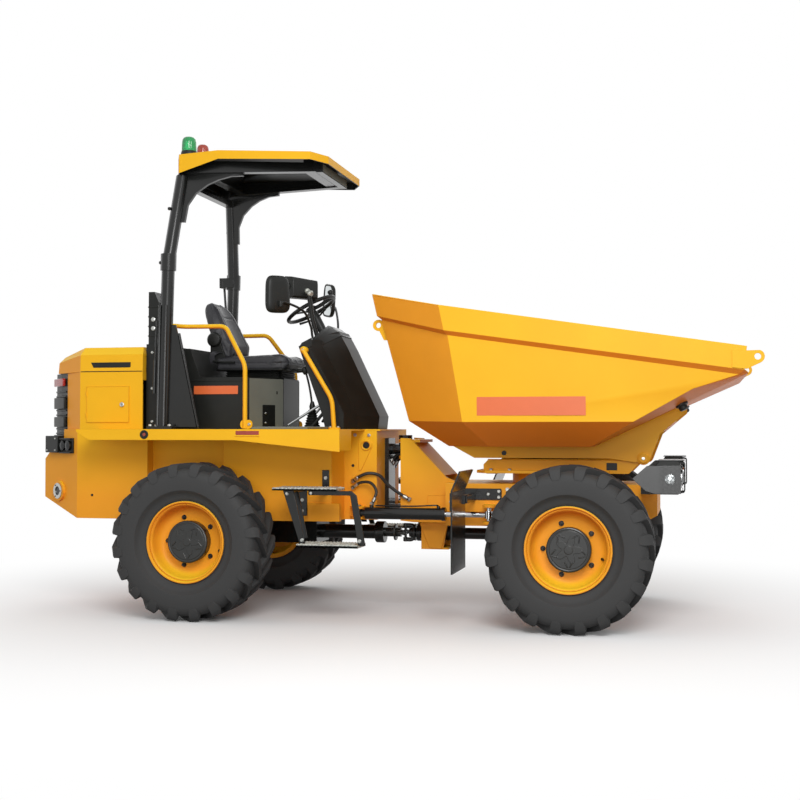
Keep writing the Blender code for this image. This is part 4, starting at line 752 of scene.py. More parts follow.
        # Guard bracket between the plates, for the shafts
        guard = prism(
            [(1.432, 0.632), (1.432, 0.622), (1.5, 0.452), (1.59, 0.444), (1.64, 0.632)], s * 0.136, s * 0.146,
            SIDE
        )
        make(f"shaft_guard_{name}", guard, ENAMEL_WITH_PAINTED_LIGHT, AHEAD, edge=0.0025)
        weld = tube(
            filleted([(1.505, s * 0.2352, 0.7), (1.505, s * 0.2352, 0.836), (1.7, s * 0.2352, 0.836)], 0.02),
            0.0028, 6
        )
        make(f"plate_seam_{name}", weld, ENAMEL_WITH_PAINTED_LIGHT, AHEAD)
    shafts()


def fork(centre, way, arm, size):
    """Half a universal joint: two arms from a flange to the cups at the ends of one bar of the cross."""
    d, tip = np.array([way, 0.0, 0.0]), np.array(arm, float)
    root = centre + d * size * 1.3
    parts = [turned([(0, 0), (1.15 * size, 0), (1.15 * size, 0.25 * size), (0, 0.25 * size)], root, d, 28)]
    for hand in (-1.0, 1.0):
        end = centre + hand * size * tip
        path = spline(
            [
                root + hand * 0.55 * size * tip, root + hand * 0.95 * size * tip - d * 0.4 * size,
                end + d * 0.3 * size, end - d * 0.1 * size
            ],
            5
        )
        parts.append(tube(path, 0.27 * size, 8, 1.2))
        cup = [
            (0, -0.3 * size), (0.34 * size, -0.3 * size), (0.34 * size, 0.22 * size), (0.26 * size, 0.3 * size),
            (0, 0.3 * size)
        ]
        parts.append(turned(cup, end, hand * tip, 16))
    return parts


def shafts():
    """Drive shaft dressing: a universal joint on the hinge's own axis, its two forks on the two halves of the
    machine, flanges with bolts, and a rubber sleeve over the sliding length."""
    z, size = SHAFT_Z, 0.052
    hinge = np.array([HINGE_X, 0, z])
    bars = [
        tube([hinge - size * np.array(a), hinge + size * np.array(a)], 0.2 * size, 8)
        for a in ((0, 1.0, 0), (0, 0, 1.0))
    ]
    rear = fork(hinge, -1.0, (0, 1, 0), size) + bars
    flange = [(0, -0.012), (0.074, -0.012), (0.078, -0.008), (0.078, 0.008), (0.074, 0.012), (0, 0.012)]
    rear.append(turned(flange, (1.085, 0, z), (1, 0, 0), 32))
    make("shaft_joint_rear", together(*rear), IRON, edge=0.0015)
    a = np.radians(np.arange(6) * 60)
    spots = np.stack([np.full(6, 1.098), 0.06 * np.cos(a), z + 0.06 * np.sin(a)], -1)
    fasten("shaft_flange_bolts", spots, (1, 0, 0), 0.016)
    front = fork(hinge, 1.0, (0, 0, 1), size)
    sleeve = [(0.043, 1.46)] + [
        (0.05 if k % 2 else 0.0565, 1.47 + 0.012 * k) for k in range(13)
    ] + [(0.043, 1.64)]
    make("shaft_sleeve", turned(sleeve, (0, 0, z), (1, 0, 0), 32, caps=True), PLASTIC, AHEAD, sharp=60.0)
    front.append(turned([(0, 0), (0.06, 0), (0.06, 0.014), (0, 0.014)], (1.975, 0, z), (1, 0, 0), 32))
    make("shaft_joint_front", together(*front), IRON, AHEAD, edge=0.0015)


# ---------------------------------------------------------------- skip and turntable


def on_skip_side(outline, side, thick):
    """A flat shape laid on the leaning side panel: (x, z) goes to (x, y, z) with the panel's own plane,
    y = 0.84742 + 0.0048 x + 0.03222 z, plus the thickness."""
    points, faces = prism(outline, -0.004, thick, SIDE)
    y = 0.84742 + 0.0048 * points[:, 0] + 0.03222 * points[:, 2] + points[:, 1]
    return np.stack([points[:, 0], side * y, points[:, 2]], -1), faces


def skip():
    """The skip, its frame and the turntable: labels, stops, pin caps, bolts, rim bead and the tipping ram."""
    dress(ENAMEL_WITH_PAINTED_LIGHT, "skip_frame", "turntable")
    merged("skip_body", ENAMEL_WITH_PAINTED_LIGHT, 14.0)
    for name, s in SIDES.items():
        label = on_skip_side(rounded(1.978, 2.688, 1.394, 1.516, 0.004), s, 0.0016)
        make(f"skip_label_{name}", label, "orange_film", "skip")
        stop = [
            (0, -0.004), (0.042, -0.004), (0.042, 0.01), (0.03, 0.016), (0.03, 0.034), (0.022, 0.042),
            (0, 0.042)
        ]
        pad = turned(stop, (3.288, s * 0.677, 1.4665), (0.43, s * 0.11, -0.897), 28)
        make(f"skip_stop_{name}", pad, PLASTIC, "skip", sharp=40.0)
        boss = [
            (0, 0), (0.043, 0), (0.043, 0.006), (0.04, 0.008), (0.032, 0.008), (0.032, 0.014), (0.028, 0.017),
            (0, 0.017)
        ]
        make(f"tip_pin_cap_{name}", turned(boss, (3.03, s * 0.3752, 1.106), (0, s, 0), 32), ENAMEL_WITH_PAINTED_LIGHT, "skip")
        ring = turned(
            [(0.0, 0.0), (0.012, 0.0), (0.011, 0.004), (0, 0.005)], (3.03, s * 0.392, 1.106), (0, s, 0), 16
        )
        make(f"tip_pin_nipple_{name}", ring, ZINC, "skip")
        # Painted shade: a black disc stands in for the shade inside a hole in the frame
        hole_shade = turned(
            [(0, 0), (0.017, 0), (0.016, 0.0022), (0, 0.0025)], (2.079, s * 0.375, 1.14), (0, s, 0), 20
        )
        make(f"frame_hole_shade_{name}", hole_shade, PLASTIC, "skip")
        # Painted shade: a black plate stands in for the shade inside the socket
        socket = prism(rounded(2.78, 2.852, 1.024, 1.074, 0.004), s * 0.3445, s * 0.3475, SIDE)
        make(f"table_socket_shade_{name}", socket, PLASTIC, "turntable", edge=0.0008)
        spots = [(x, s * y, TABLE_TOP) for x, y in ((1.99, 0.392), (2.12, 0.392), (2.66, 0.392))]
        fasten(f"table_bolts_{name}", spots, (0, 0, 1), 0.022, "turntable")
        fin = tube(filleted([(1.96, s * 0.3452, 1.094), (2.93, s * 0.3452, 1.094)], 0.01), 0.004, 6)
        make(f"cheek_weld_{name}", fin, ENAMEL_WITH_PAINTED_LIGHT, "turntable")
    slew_spots = [
        (SLEW_X + 0.296 * math.cos(a), 0.296 * math.sin(a), TABLE_TOP)
        for a in np.radians(np.arange(24) * 15 + 7)
    ]
    keep = [p for p in slew_spots if abs(p[1]) > 0.075 or p[0] > 2.32]
    fasten("slew_ring_bolts", keep, (0, 0, 1), 0.02, "turntable")
    # The bead along the skip's top edge, one half a side
    lips = []
    for s in SIDES.values():
        path = [
            (1.178, 0.0, 2.2445), (1.178, -s * 0.546, 2.2445), (1.729, -s * 0.944, 2.1195),
            (3.69, -s * 0.944, 1.8185)
        ]
        lips.append(tube(filleted(path, 0.05), 0.0055, 8))
    make("skip_rim_bead", together(*lips), ENAMEL_WITH_PAINTED_LIGHT, "skip", sharp=60.0)
    merged("tip_barrel", BLACK, 40.0)
    merged("tip_rod", "chromed_rod", 40.0)


# ---------------------------------------------------------------- canopy


def canopy():
    """The roll bar with its ribs, struts, stays and bolts, and the roof, which is black inside."""
    merged("rops_frame", BLACK, 50.0)
    roof = merged("canopy_roof", ENAMEL_WITH_PAINTED_LIGHT, 22.0)
    roof.data.materials.append(finish(PLASTIC))
    facing = np.zeros(len(roof.data.polygons) * 3, np.float32)
    roof.data.polygons.foreach_get("normal", facing)
    middles = np.zeros(len(roof.data.polygons) * 3, np.float32)
    roof.data.polygons.foreach_get("center", middles)
    facing, outward = facing.reshape(-1, 3), middles.reshape(-1, 3) - box_middle("canopy_roof")
    # Faces that look down, and those of the skirts that look in, are the black inside
    inside = (facing[:, 2] < -0.3) | ((facing[:, :2] * outward[:, :2]).sum(1) < -0.05)
    roof.data.polygons.foreach_set("material_index", inside.astype(np.int32))
    for name, s in SIDES.items():
        ribs = []
        for dx, dy in ((-0.03, 0.036), (0.018, 0.04)):
            ribs.append(
                tube(
                    [
                        (-0.335 + dx, s * (POST_Y + dy * 0.9), 1.33),
                        (-0.318 + dx, s * (POST_Y + dy * 0.9), 2.19)
                    ],
                    0.0135, 10
                )
            )
        make(f"post_ribs_{name}", together(*ribs), BLACK)
        strut = [
            tube([(-0.392, s * 0.694, 1.56), (-0.386, s * 0.694, 1.8)], 0.011, 12),
            tube([(-0.386, s * 0.694, 1.79), (-0.374, s * 0.694, 2.08)], 0.0062, 10),
        ]
        make(f"post_strut_{name}", together(*strut), BLACK, sharp=60.0)
        knob = [(0, 0), (0.011, 0), (0.013, 0.012), (0.01, 0.02), (0, 0.021)]
        knobs = [
            turned(knob, place, (-1, 0, 0), 16)
            for place in ((-0.35, s * POST_Y, 2.5), (-0.3145, s * 0.59, 2.9))
        ]
        make(f"post_knobs_{name}", together(*knobs), BLACK, sharp=45.0)
        spots = [(x, s * y, DECK_TOP + 0.022) for x in (-0.408, -0.262) for y in (0.622, 0.72)]
        fasten(f"post_foot_bolts_{name}", spots, (0, 0, 1), 0.022)
        stays = []
        for dy in (0.004, -0.012):
            stays.append(tube([(-0.218, s * (POST_Y + dy), 1.99), (-0.07, s * (POST_Y + dy), 1.318)], 0.006, 8))
        make(f"post_stays_{name}", together(*stays), BLACK, sharp=60.0)
        spots = [(x, s * 0.4, roof_z(x)) for x in (0.05, 0.6)]
        make(f"roof_bolts_{name}", bolts(spots, (0, 0, 1), 0.02), BLACK)
    clamp = [block(-0.4, -0.28, 0.6, 0.63, 2.455, 2.535), block(-0.4, -0.37, 0.6, 0.72, 2.455, 2.535)]
    clamp.append(block(-0.3, -0.262, 0.625, 0.7, 2.465, 2.525))
    clamp.append(tube([(-0.392, 0.69, 2.47), (-0.375, 0.7, 2.2)], 0.01, 10))
    make("fold_clamp", together(*clamp), BLACK, edge=0.002)
    face = prism(rounded(-0.315, 0.315, 3.174, 3.228, 0.006), 0.7495, 0.753, FRONT)
    make("front_bar_face", face, GREY, edge=0.001)
    beacon("beacon_green", "green_polycarbonate")
    beacon("beacon_amber", "amber_polycarbonate")


def roof_z(x):
    """Height of the roof's raised middle at x, straight between its breaks."""
    return float(np.interp(x, (-0.29, -0.235, 0.05, 0.7, 0.78), (3.306, 3.31, 3.325, 3.285, 3.279)))


def beacon(node, lens):
    """A fluted lens on a black foot: r = profile(z) (1 + 0.018 cos 24a), turned about the upright axis."""
    low, high = (np.array(p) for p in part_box(node))
    centre, radius, tall = (low + high) / 2 - TO_FRAME, (high[0] - low[0]) / 2, high[2] - low[2]
    share = np.array(
        [
            (0.86, 0.2), (0.885, 0.24), (0.87, 0.5), (0.845, 0.72), (0.79, 0.84), (0.68, 0.925), (0.5, 0.975),
            (0.26, 0.996), (0.0, 1.0),
        ]
    )
    angle = 2 * math.pi * np.arange(96) / 96
    flute = 1 + 0.018 * np.cos(24 * angle)
    r = radius * share[:, 0, None] * flute
    z = low[2] + tall * share[:, 1, None] + 0 * r
    dome = skin(
        np.stack([centre[0] + r * np.cos(angle), centre[1] + r * np.sin(angle), z], -1), around=True, caps=True
    )
    obj = make(node + "_lens", dome, lens, sharp=50.0)
    foot = [
        (0, 0), (radius, 0), (radius, 0.1 * tall), (0.97 * radius, 0.13 * tall), (0.93 * radius, 0.2 * tall),
        (0, 0.2 * tall)
    ]
    make(node + "_foot", turned(foot, (centre[0], centre[1], low[2]), (0, 0, 1), 40), PLASTIC)
    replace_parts(obj, node)


# ---------------------------------------------------------------- engine end


def engine():
    """The engine end: cover slots and seals, hatches, grille, tail lamps, hinges and the air intake."""
    dress(ENAMEL_WITH_PAINTED_LIGHT, "engine_housing", "engine_cover", "side_hatch_right", "side_hatch_left")
    dress(PLASTIC, "rear_grille", "bulkhead", "intake_stack")
    dress(IRON, "engine_block")
    for name, s in SIDES.items():
        # Painted shade: a black plate stands in for the shade inside the cover's slot
        slot = prism(
            [(-0.905, 1.789), (-0.885, 1.751), (-0.6, 1.751), (-0.595, 1.756), (-0.595, 1.789)], s * 0.6465,
            s * 0.6508, SIDE
        )
        make(f"cover_slot_shade_{name}", slot, PLASTIC, "engine_cover", edge=0.0008)
        seam = tube([(-0.985, s * 0.65, 1.7235), (-0.505, s * 0.65, 1.7235)], 0.003, 6)
        make(f"cover_seal_{name}", seam, PLASTIC, "engine_cover")
        hatch = f"side_hatch_{name}"
        edge = rounded(-0.934, -0.606, 1.356, 1.613, 0.01)
        loop = np.stack([edge[:, 0], np.full(len(edge), s * 0.6566), edge[:, 1]], -1)
        make(f"hatch_edge_{name}", tube(np.concatenate([loop, loop[:1]]), 0.0016, 6), ENAMEL_WITH_PAINTED_LIGHT, hatch)
        hinges = [
            tube([(-0.937, s * 0.659, z), (-0.937, s * 0.659, z + 0.034)], 0.0055, 10) for z in (1.395, 1.545)
        ]
        make(f"hatch_hinges_{name}", together(*hinges), ENAMEL_WITH_PAINTED_LIGHT, hatch, sharp=60.0)
        latch = [(0, 0), (0.017, 0), (0.017, 0.003), (0.013, 0.0045), (0.0115, 0.0025), (0, 0.0025)]
        make(f"hatch_latch_{name}", turned(latch, (-0.654, s * 0.664, 1.483), (0, s, 0), 28), ZINC, hatch)
        # Painted shade: a black plate stands in for the shade inside the latch's keyway
        key = prism(rounded(-0.6555, -0.6525, 1.476, 1.49, 0.001), s * 0.666, s * 0.6676, SIDE)
        make(f"hatch_keyway_shade_{name}", key, PLASTIC, hatch)
        # Louvres round the grille's corner, and its red lamp
        line = np.array(
            [(-1.184, s * 0.485), (-1.2715, s * 0.4022), (-1.3605, s * 0.302), (-1.3605, s * 0.225)]
        )
        path = np.column_stack([line, np.zeros(4)])
        fins = repeated(tube(path, 0.0075, 6, 0.8), [(0, 0, 1.205 + 0.0345 * k) for k in range(12)])
        make(f"grille_louvres_{name}", fins, PLASTIC, sharp=40.0)
        turn = line if s > 0 else line[::-1]
        bands = [facet(turn, z0, z1, 0.021) for z0, z1 in ((1.322, 1.398), (1.458, 1.542), (1.196, 1.262))]
        make(f"grille_bands_{name}", together(*bands), PLASTIC, edge=0.005)
        line = np.array([(-1.2, s * 0.472), (-1.2715, s * 0.4022), (-1.3605, s * 0.302)])
        lens = facet(line if s > 0 else line[::-1], 1.626, 1.684, 0.022)
        make(f"tail_lamp_{name}", lens, "red_polycarbonate", edge=0.005)
        spots = [(-0.449, s * 0.6002, z) for z in (1.36, 1.6, 1.86)]
        fasten(f"bulkhead_bolts_{name}", spots, (0, s, 0), 0.015)
    bars = repeated(
        tube([(0, -0.262, 0), (0, 0.262, 0)], 0.006, 6, 0.8),
        [(-1.3585, 0, 1.221 + 0.078 * k + d) for k in range(5) for d in (0.0, 0.055)]
    )
    make("grille_bars", bars, PLASTIC)
    hinge = [tube([(-1.2895, y, 1.7205), (-1.2895, y + 0.09, 1.7205)], 0.008, 12) for y in (-0.31, 0.22)]
    make("cover_hinge", together(*hinge), BLACK, "engine_cover", sharp=60.0)
    # Ribs and clips of the air intake
    ribs = [block(-0.489, -0.404, -0.589, -0.471, z, z + 0.01) for z in (1.975, 2.045, 2.115, 2.185)]
    make("intake_ribs", together(*ribs), PLASTIC, edge=0.002)
    spots = [(-0.447, -0.5855, 2.035), (-0.447, -0.5855, 2.1)]
    clip = repeated(
        turned([(0, 0), (0.016, 0), (0.016, 0.006), (0.009, 0.01), (0, 0.01)], (0, 0, 0), (0, -1, 0), 20), spots
    )
    make("intake_clips", clip, ZINC)
    engine_detail()


def engine_detail():
    """What shows of the engine under its raised cover: rocker cover, filter, pipe and oil filler cap."""
    parts = [
        prism(rounded(-1.02, -0.56, -0.1, 0.1, 0.03), 1.598, 1.652),
        turned(
            [(0, 0), (0.055, 0), (0.055, 0.2), (0.045, 0.215), (0, 0.215)], (-0.95, 0.2, 1.5), (0.35, 0, 1), 28
        ),
        tube(
            spline([(-0.6, 0.16, 1.6), (-0.62, 0.22, 1.655), (-0.75, 0.25, 1.665), (-0.86, 0.22, 1.64)], 6),
            0.024, 12
        ),
    ]
    make("engine_top", together(*parts), IRON, edge=0.004)
    filler = turned(
        [(0, 0), (0.03, 0), (0.03, 0.018), (0.024, 0.022), (0, 0.022)], (-0.66, 0.02, 1.652), (0, 0, 1), 24
    )
    make("oil_filler_cap", filler, PLASTIC)


# ---------------------------------------------------------------- driver's place


def stuffed(node, name, finish_name, swell, shape_it):
    """A sewn pad from a CAD solid: the solid's copy is shrunk, remeshed, blown up by cloth pressure, held to
    within swell of where it started, then given its seams by shape_it and one subdivision."""
    source = frame["nodes"][node].data
    build = bmesh.new()
    build.from_mesh(source)
    bmesh.ops.remove_doubles(build, verts=build.verts, dist=0.02 * MM)
    bmesh.ops.recalc_face_normals(build, faces=build.faces)
    mesh = bpy.data.meshes.new(name)
    build.to_mesh(mesh)
    build.free()
    obj = bpy.data.objects.new(name, mesh)
    bpy.context.scene.collection.objects.link(obj)
    corners = obj.modifiers.new("corners", "BEVEL")
    corners.width, corners.segments = 0.016, 3
    corners.limit_method, corners.angle_limit = "ANGLE", math.radians(25)
    shell = obj.modifiers.new("shell", "REMESH")
    shell.mode, shell.voxel_size = "VOXEL", 6 * MM
    settle(obj)
    rest = coordinates(obj.data)
    cloth = obj.modifiers.new("pressure", "CLOTH").settings
    cloth.use_pressure, cloth.uniform_pressure_force = True, 4.0
    cloth.effector_weights.gravity = 0.0
    for step in range(1, 21):
        bpy.context.scene.frame_set(step)
    settle(obj)
    bpy.context.scene.frame_set(1)
    moved = coordinates(obj.data) - rest
    length = np.linalg.norm(moved, axis=1)[:, None]
    rest = rest + moved * np.minimum(1.0, swell / np.maximum(length, 1e-9))
    normals = np.zeros(len(rest) * 3, np.float32)
    obj.data.vertices.foreach_get("normal", normals)
    placed = rest - TO_FRAME
    placed = shape_it(placed, normals.reshape(-1, 3)) + TO_FRAME
    obj.data.vertices.foreach_set("co", placed.astype(np.float32).ravel())
    obj.data.polygons.foreach_set("use_smooth", np.ones(len(obj.data.polygons), bool))
    obj.data.materials.clear()
    obj.data.materials.append(finish(finish_name))
    smooth = obj.modifiers.new("smooth", "SUBSURF")
    smooth.levels = smooth.render_levels = 1
    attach(obj, body_of(node))
    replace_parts(obj, node)
    return obj


def settle(obj):
    """Puts what the modifiers make into the mesh itself."""
    graph = bpy.context.evaluated_depsgraph_get()
    made = bpy.data.meshes.new_from_object(obj.evaluated_get(graph), depsgraph=graph)
    obj.modifiers.clear()
    obj.data = made


def coordinates(mesh):
    """The mesh's points, one row each."""
    found = np.zeros(len(mesh.vertices) * 3, np.float32)
    mesh.vertices.foreach_get("co", found)
    return found.reshape(-1, 3).astype(float)


def groove(value, at, width, depth):
    """A seam as a dip: depth exp(-((value - at) / width)^2)."""
    return depth * np.exp(-(((value - at) / width) ** 2))


def cushion_seams(p, normals):
    """Two fore-and-aft seams that part the bolsters from the middle, one across behind the thighs, one round
    the side, a dished middle, and a nose that narrows in plan."""
    x, y, z = p.T
    on_top = np.clip(normals[:, 2] * 2, 0, 1)
    dip = (
        groove(np.abs(y), 0.15, 0.008, 0.006) * on_top
        + groove(x, 0.3, 0.007, 0.004) * on_top * (np.abs(y) < 0.15)
    )
    dish = 0.014 * np.clip(1 - (y / 0.15) ** 2, 0, 1) * np.clip((x + 0.05) / 0.1, 0, 1) * on_top
    side = groove(z, 1.792, 0.005, 0.004) * (1 - on_top)
    moved = p - normals * (dip + side)[:, None]
    moved[:, 2] -= dish
    # The corners in plan are drawn in, so that the front of the pad is round
    moved[:, 1] *= 1 - 0.16 * np.clip((x - 0.33) / 0.14, 0, 1) ** 2
    return moved


def back_seams(p, normals):
    """The same for the back: it narrows to its top, its bolsters stand forward, and a seam follows its edge."""
    x, y, z = p.T
    high = np.clip((z - 1.98) / 0.29, 0, 1)
    forward = np.clip(normals[:, 0] * 2, 0, 1)
    dip = (
        groove(np.abs(y), 0.128, 0.008, 0.006) * forward
        + groove(z, 2.15, 0.007, 0.004) * forward * (np.abs(y) < 0.13)
    )
    middle = -0.245 + (2.27 - z) * 0.42
    edge = groove(x - (middle + 0.055), 0.0, 0.006, 0.004) * (1 - forward)
    moved = p - normals * (dip + edge)[:, None]
    moved[:, 0] -= 0.016 * np.clip(1 - (y / 0.13) ** 2, 0, 1) * forward
    moved[:, 1] *= np.sqrt(1 - 0.84 * high**2.4)
    crown = np.clip((z - 2.15) / 0.12, 0, 1)
    moved[:, 0] = middle + 0.03 + (moved[:, 0] - middle - 0.03) * np.sqrt(1 - 0.8 * crown**2)
    return moved


def bellows():
    """The suspension's gaiter: a rounded rectangle carried upwards, its size times
    1 + (0.010 |sin 4 pi t| - 0.004) / 0.19 at share t of the height."""
    t = np.linspace(0, 1, 17)[:, None, None]
    outline = rounded(-0.045, 0.385, -0.195, 0.195, 0.045, 6)
    middle = outline.mean(0)
    plan = middle + (outline - middle)[None] * (1 + (0.01 * np.abs(np.sin(4 * math.pi * t)) - 0.004) / 0.19)
    height = np.broadcast_to(1.6795 + 0.066 * t, (len(t), len(outline), 1))
    return skin(np.concatenate([plan, height], -1), around=True, caps=True)


def seat():
    """The seat on its box: pads, gaiter, pan, recliners, slide levers, lap belt, and the rails beside it."""
    dress(PLASTIC, "seat_box")
    stuffed("seat_cushion", "seat_cushion_pad", "seat_vinyl", 0.01, cushion_seams)
    stuffed("seat_back", "seat_back_pad", "seat_vinyl", 0.01, back_seams)
    floor = DECK_TOP
    for name, s in SIDES.items():
        rail = [
            (-0.305, s * 0.625, 2.05), (-0.235, s * 0.5, 2.05), (0.063, s * 0.47, 2.05),
            (0.255, s * 0.585, 1.76), (0.255, s * 0.585, floor + 0.004)
        ]
        parts = [tube(filleted(rail, 0.045, 8), 0.0165, 16)]
        foot = prism(rounded(0.222, 0.312, floor + 0.002, floor + 0.066, 0.028), s * 0.583, s * 0.592, SIDE)
        obj = make(f"seat_rail_{name}_bar", together(*parts, foot), ENAMEL_WITH_PAINTED_LIGHT, sharp=50.0)
        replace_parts(obj, f"seat_rail_{name}")
        fasten(f"seat_rail_bolt_{name}", [(0.289, s * 0.592, floor + 0.034)], (0, s, 0), 0.018)
        label = prism(rounded(-0.167, 0.171, 1.558, 1.618, 0.003), s * 0.5002, s * 0.5026, SIDE)
        make(f"seat_box_label_{name}", label, "orange_film", edge=0.0008)
        ledge = prism(
            [(-0.195, 1.65), (-0.195, 1.664), (0.245, 1.664), (0.245, 1.65)], s * 0.499, s * 0.5045, SIDE
        )
        make(f"seat_box_bead_{name}", ledge, PLASTIC, edge=0.002)
        # Grey front corner panel with its hand hole and vent in painted shade, and two bolts
        corner = np.array([(0.2505, 0.5015), (0.4115, 0.1865)])
        way = (corner[1] - corner[0]) / np.linalg.norm(corner[1] - corner[0])
        out = np.array([-way[1], way[0]])
        out = out if out[0] > 0 else -out

        def on_corner(t0, t1, z0, z1, thick, radius=0.006):
            """A plate on the slanting corner: (t, z) goes to corner + t way + thickness out."""
            shape = prism(rounded(t0, t1, z0, z1, radius), 0.0005, thick)
            t, z, depth = shape[0].T
            place = corner[0] + t[:, None] * way + depth[:, None] * out
            return np.stack([place[:, 0], s * place[:, 1], z], -1), shape[1]

        make(f"seat_box_corner_{name}", on_corner(0.008, 0.345, floor + 0.004, 1.672, 0.004), GREY, edge=0.001)
        # Painted shade: black plates stand in for the shade inside the hand hole and the vent
        make(f"seat_box_hole_shade_{name}", on_corner(0.135, 0.262, 1.322, 1.482, 0.0052), PLASTIC)
        make(f"seat_box_vent_shade_{name}", on_corner(0.275, 0.287, 1.56, 1.584, 0.0052, 0.005), PLASTIC)
        for z in (1.352, 1.42):
            spot = corner[0] + 0.165 * way + 0.006 * out
            fasten(
                f"seat_box_bolt_{name}_{int(z * 1000)}", [(spot[0], s * spot[1], z)], (out[0], s * out[1], 0),
                0.014
            )
    make("seat_bellows", bellows(), PLASTIC, sharp=70.0)
    pan = prism(rounded(-0.11, 0.44, -0.246, 0.246, 0.05), 1.742, 1.751)
    make("seat_pan", pan, PLASTIC, edge=0.002)
    knob = [
        tube([(0.43, -0.085, 1.742), (0.49, -0.085, 1.742)], 0.007, 10),
        turned(
            [(0, 0), (0.013, 0.002), (0.0165, 0.012), (0.0165, 0.036), (0.013, 0.044), (0, 0.045)],
            (0.48, -0.085, 1.742), (1, 0, 0), 20
        ),
    ]
    make("seat_height_lever", together(*knob), PLASTIC, sharp=45.0)
    for name, s in SIDES.items():
        boss = [(0, 0), (0.056, 0), (0.056, 0.012), (0.046, 0.026), (0.022, 0.032), (0, 0.033)]
        arm = prism(
            [(-0.15, 1.8), (-0.045, 1.79), (-0.035, 1.85), (-0.082, 1.985), (-0.15, 1.985)], s * 0.205,
            s * 0.228, SIDE
        )
        side_cover = turned(boss, (-0.118, s * 0.222, 1.972), (0, s, 0), 32)
        make(f"recliner_{name}", together(arm, side_cover), PLASTIC, edge=0.004)
        latch = tube(
            spline([(-0.12, s * 0.246, 1.812), (-0.04, s * 0.258, 1.802), (0.055, s * 0.262, 1.8)], 5), 0.008,
            8, 1.4
        )
        make(f"seat_slide_{name}", latch, PLASTIC, sharp=60.0)
    strap = spline(
        [
            (-0.13, -0.236, 1.8), (-0.122, -0.246, 1.862), (-0.06, -0.215, 1.878), (-0.04, -0.1, 1.871),
            (-0.04, 0.1, 1.871), (-0.06, 0.215, 1.878), (-0.122, 0.246, 1.862)
        ],
        8
    )
    make("lap_belt", tube(strap, 0.022, 8, 0.09), "seat_vinyl", sharp=70.0)
    buckle = prism(rounded(-0.075, -0.015, -0.03, 0.03, 0.006), 1.868, 1.884)
    make("belt_buckle", buckle, PLASTIC, edge=0.003)


def controls():
    """What stands round the driver: console, column, wheel, mirrors, display, console rails and foot mat."""
    dress(PLASTIC, "console")
    display()
    column()
    for name, s in SIDES.items():
        mirror(name, s)
        rail = [(0.65, s * 0.47, 1.87), (0.865, s * 0.47, 1.515), (0.88, s * 0.47, DECK_TOP + 0.004)]
        top = turned(
            [(0, 0), (0.026, 0), (0.026, 0.044), (0.02, 0.05), (0, 0.05)], (0.65, s * 0.4205, 1.87), (0, s, 0),
            24
        )
        foot = prism(rounded(0.838, 0.924, s * 0.47 - 0.03, s * 0.47 + 0.03, 0.028), DECK_TOP, DECK_TOP + 0.012)
        parts = together(tube(filleted(rail, 0.05, 8), 0.0165, 16), top, foot)
        obj = make(f"console_rail_{name}_bar", parts, ENAMEL_WITH_PAINTED_LIGHT, sharp=50.0)
        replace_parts(obj, f"console_rail_{name}")
        spots = [(x, s * 0.47, DECK_TOP + 0.012) for x in (0.852, 0.91)]
        fasten(f"console_rail_bolts_{name}", spots, (0, 0, 1), 0.016)
        fasten(f"console_rail_screw_{name}", [(0.65, s * 0.4705, 1.87)], (0, s, 0), 0.016)
        # Edge strip up the sloping front of the console, and the cheek over its shoulder
        make(f"console_strip_{name}", console_strip(s), PLASTIC, edge=0.0015)
        cover = [(0.604, 1.892), (0.625, 1.925), (0.7, 1.962), (0.702, 1.9), (0.64, 1.872)]
        make(f"console_cheek_{name}", prism(cover, s * 0.4185, s * 0.426, SIDE), PLASTIC, edge=0.002)
    cowl = np.array(
        [
            [
                (0.69, -0.372, 1.957), (0.7, -0.34, 1.985), (0.738, -0.14, 2.07), (0.738, 0.14, 2.07),
                (0.7, 0.34, 1.985), (0.69, 0.372, 1.957)
            ],
            [
                (0.706, -0.371, 1.95), (0.722, -0.336, 1.975), (0.762, -0.14, 2.06), (0.762, 0.14, 2.06),
                (0.722, 0.336, 1.975), (0.706, 0.371, 1.95)
            ],
            [
                (0.752, -0.32, 1.905), (0.77, -0.28, 1.93), (0.845, -0.14, 1.992), (0.845, 0.14, 1.992),
                (0.77, 0.28, 1.93), (0.752, 0.32, 1.905)
            ],
            [
                (0.735, -0.31, 1.9), (0.74, -0.27, 1.92), (0.8, -0.13, 1.985), (0.8, 0.13, 1.985),
                (0.74, 0.27, 1.92), (0.735, 0.31, 1.9)
            ],
        ]
    )
    make("dash_cowl", skin(cowl.transpose(1, 0, 2), around=True, caps=True), PLASTIC, edge=0.003)
    mat = prism(rounded(0.44, 0.838, -0.975, 0.975, 0.01), DECK_TOP, DECK_TOP + 0.014)
    make("foot_mat", mat, GREY, edge=0.002)
    stud = turned([(0, 0), (0.011, 0), (0.009, 0.0032), (0, 0.0034)], (0, 0, 0), (0, 0, 1), 8)
    spots = [
        (0.46 + 0.033 * i, -0.945 + 0.035 * j + 0.0175 * (i % 2), DECK_TOP + 0.014) for i in range(12)
        for j in range(54)
    ]
    spots = [p for p in spots if not (p[0] > 0.56 and abs(p[1]) < 0.4)]
    make("foot_mat_studs", repeated(stud, spots), GREY)
    levers()


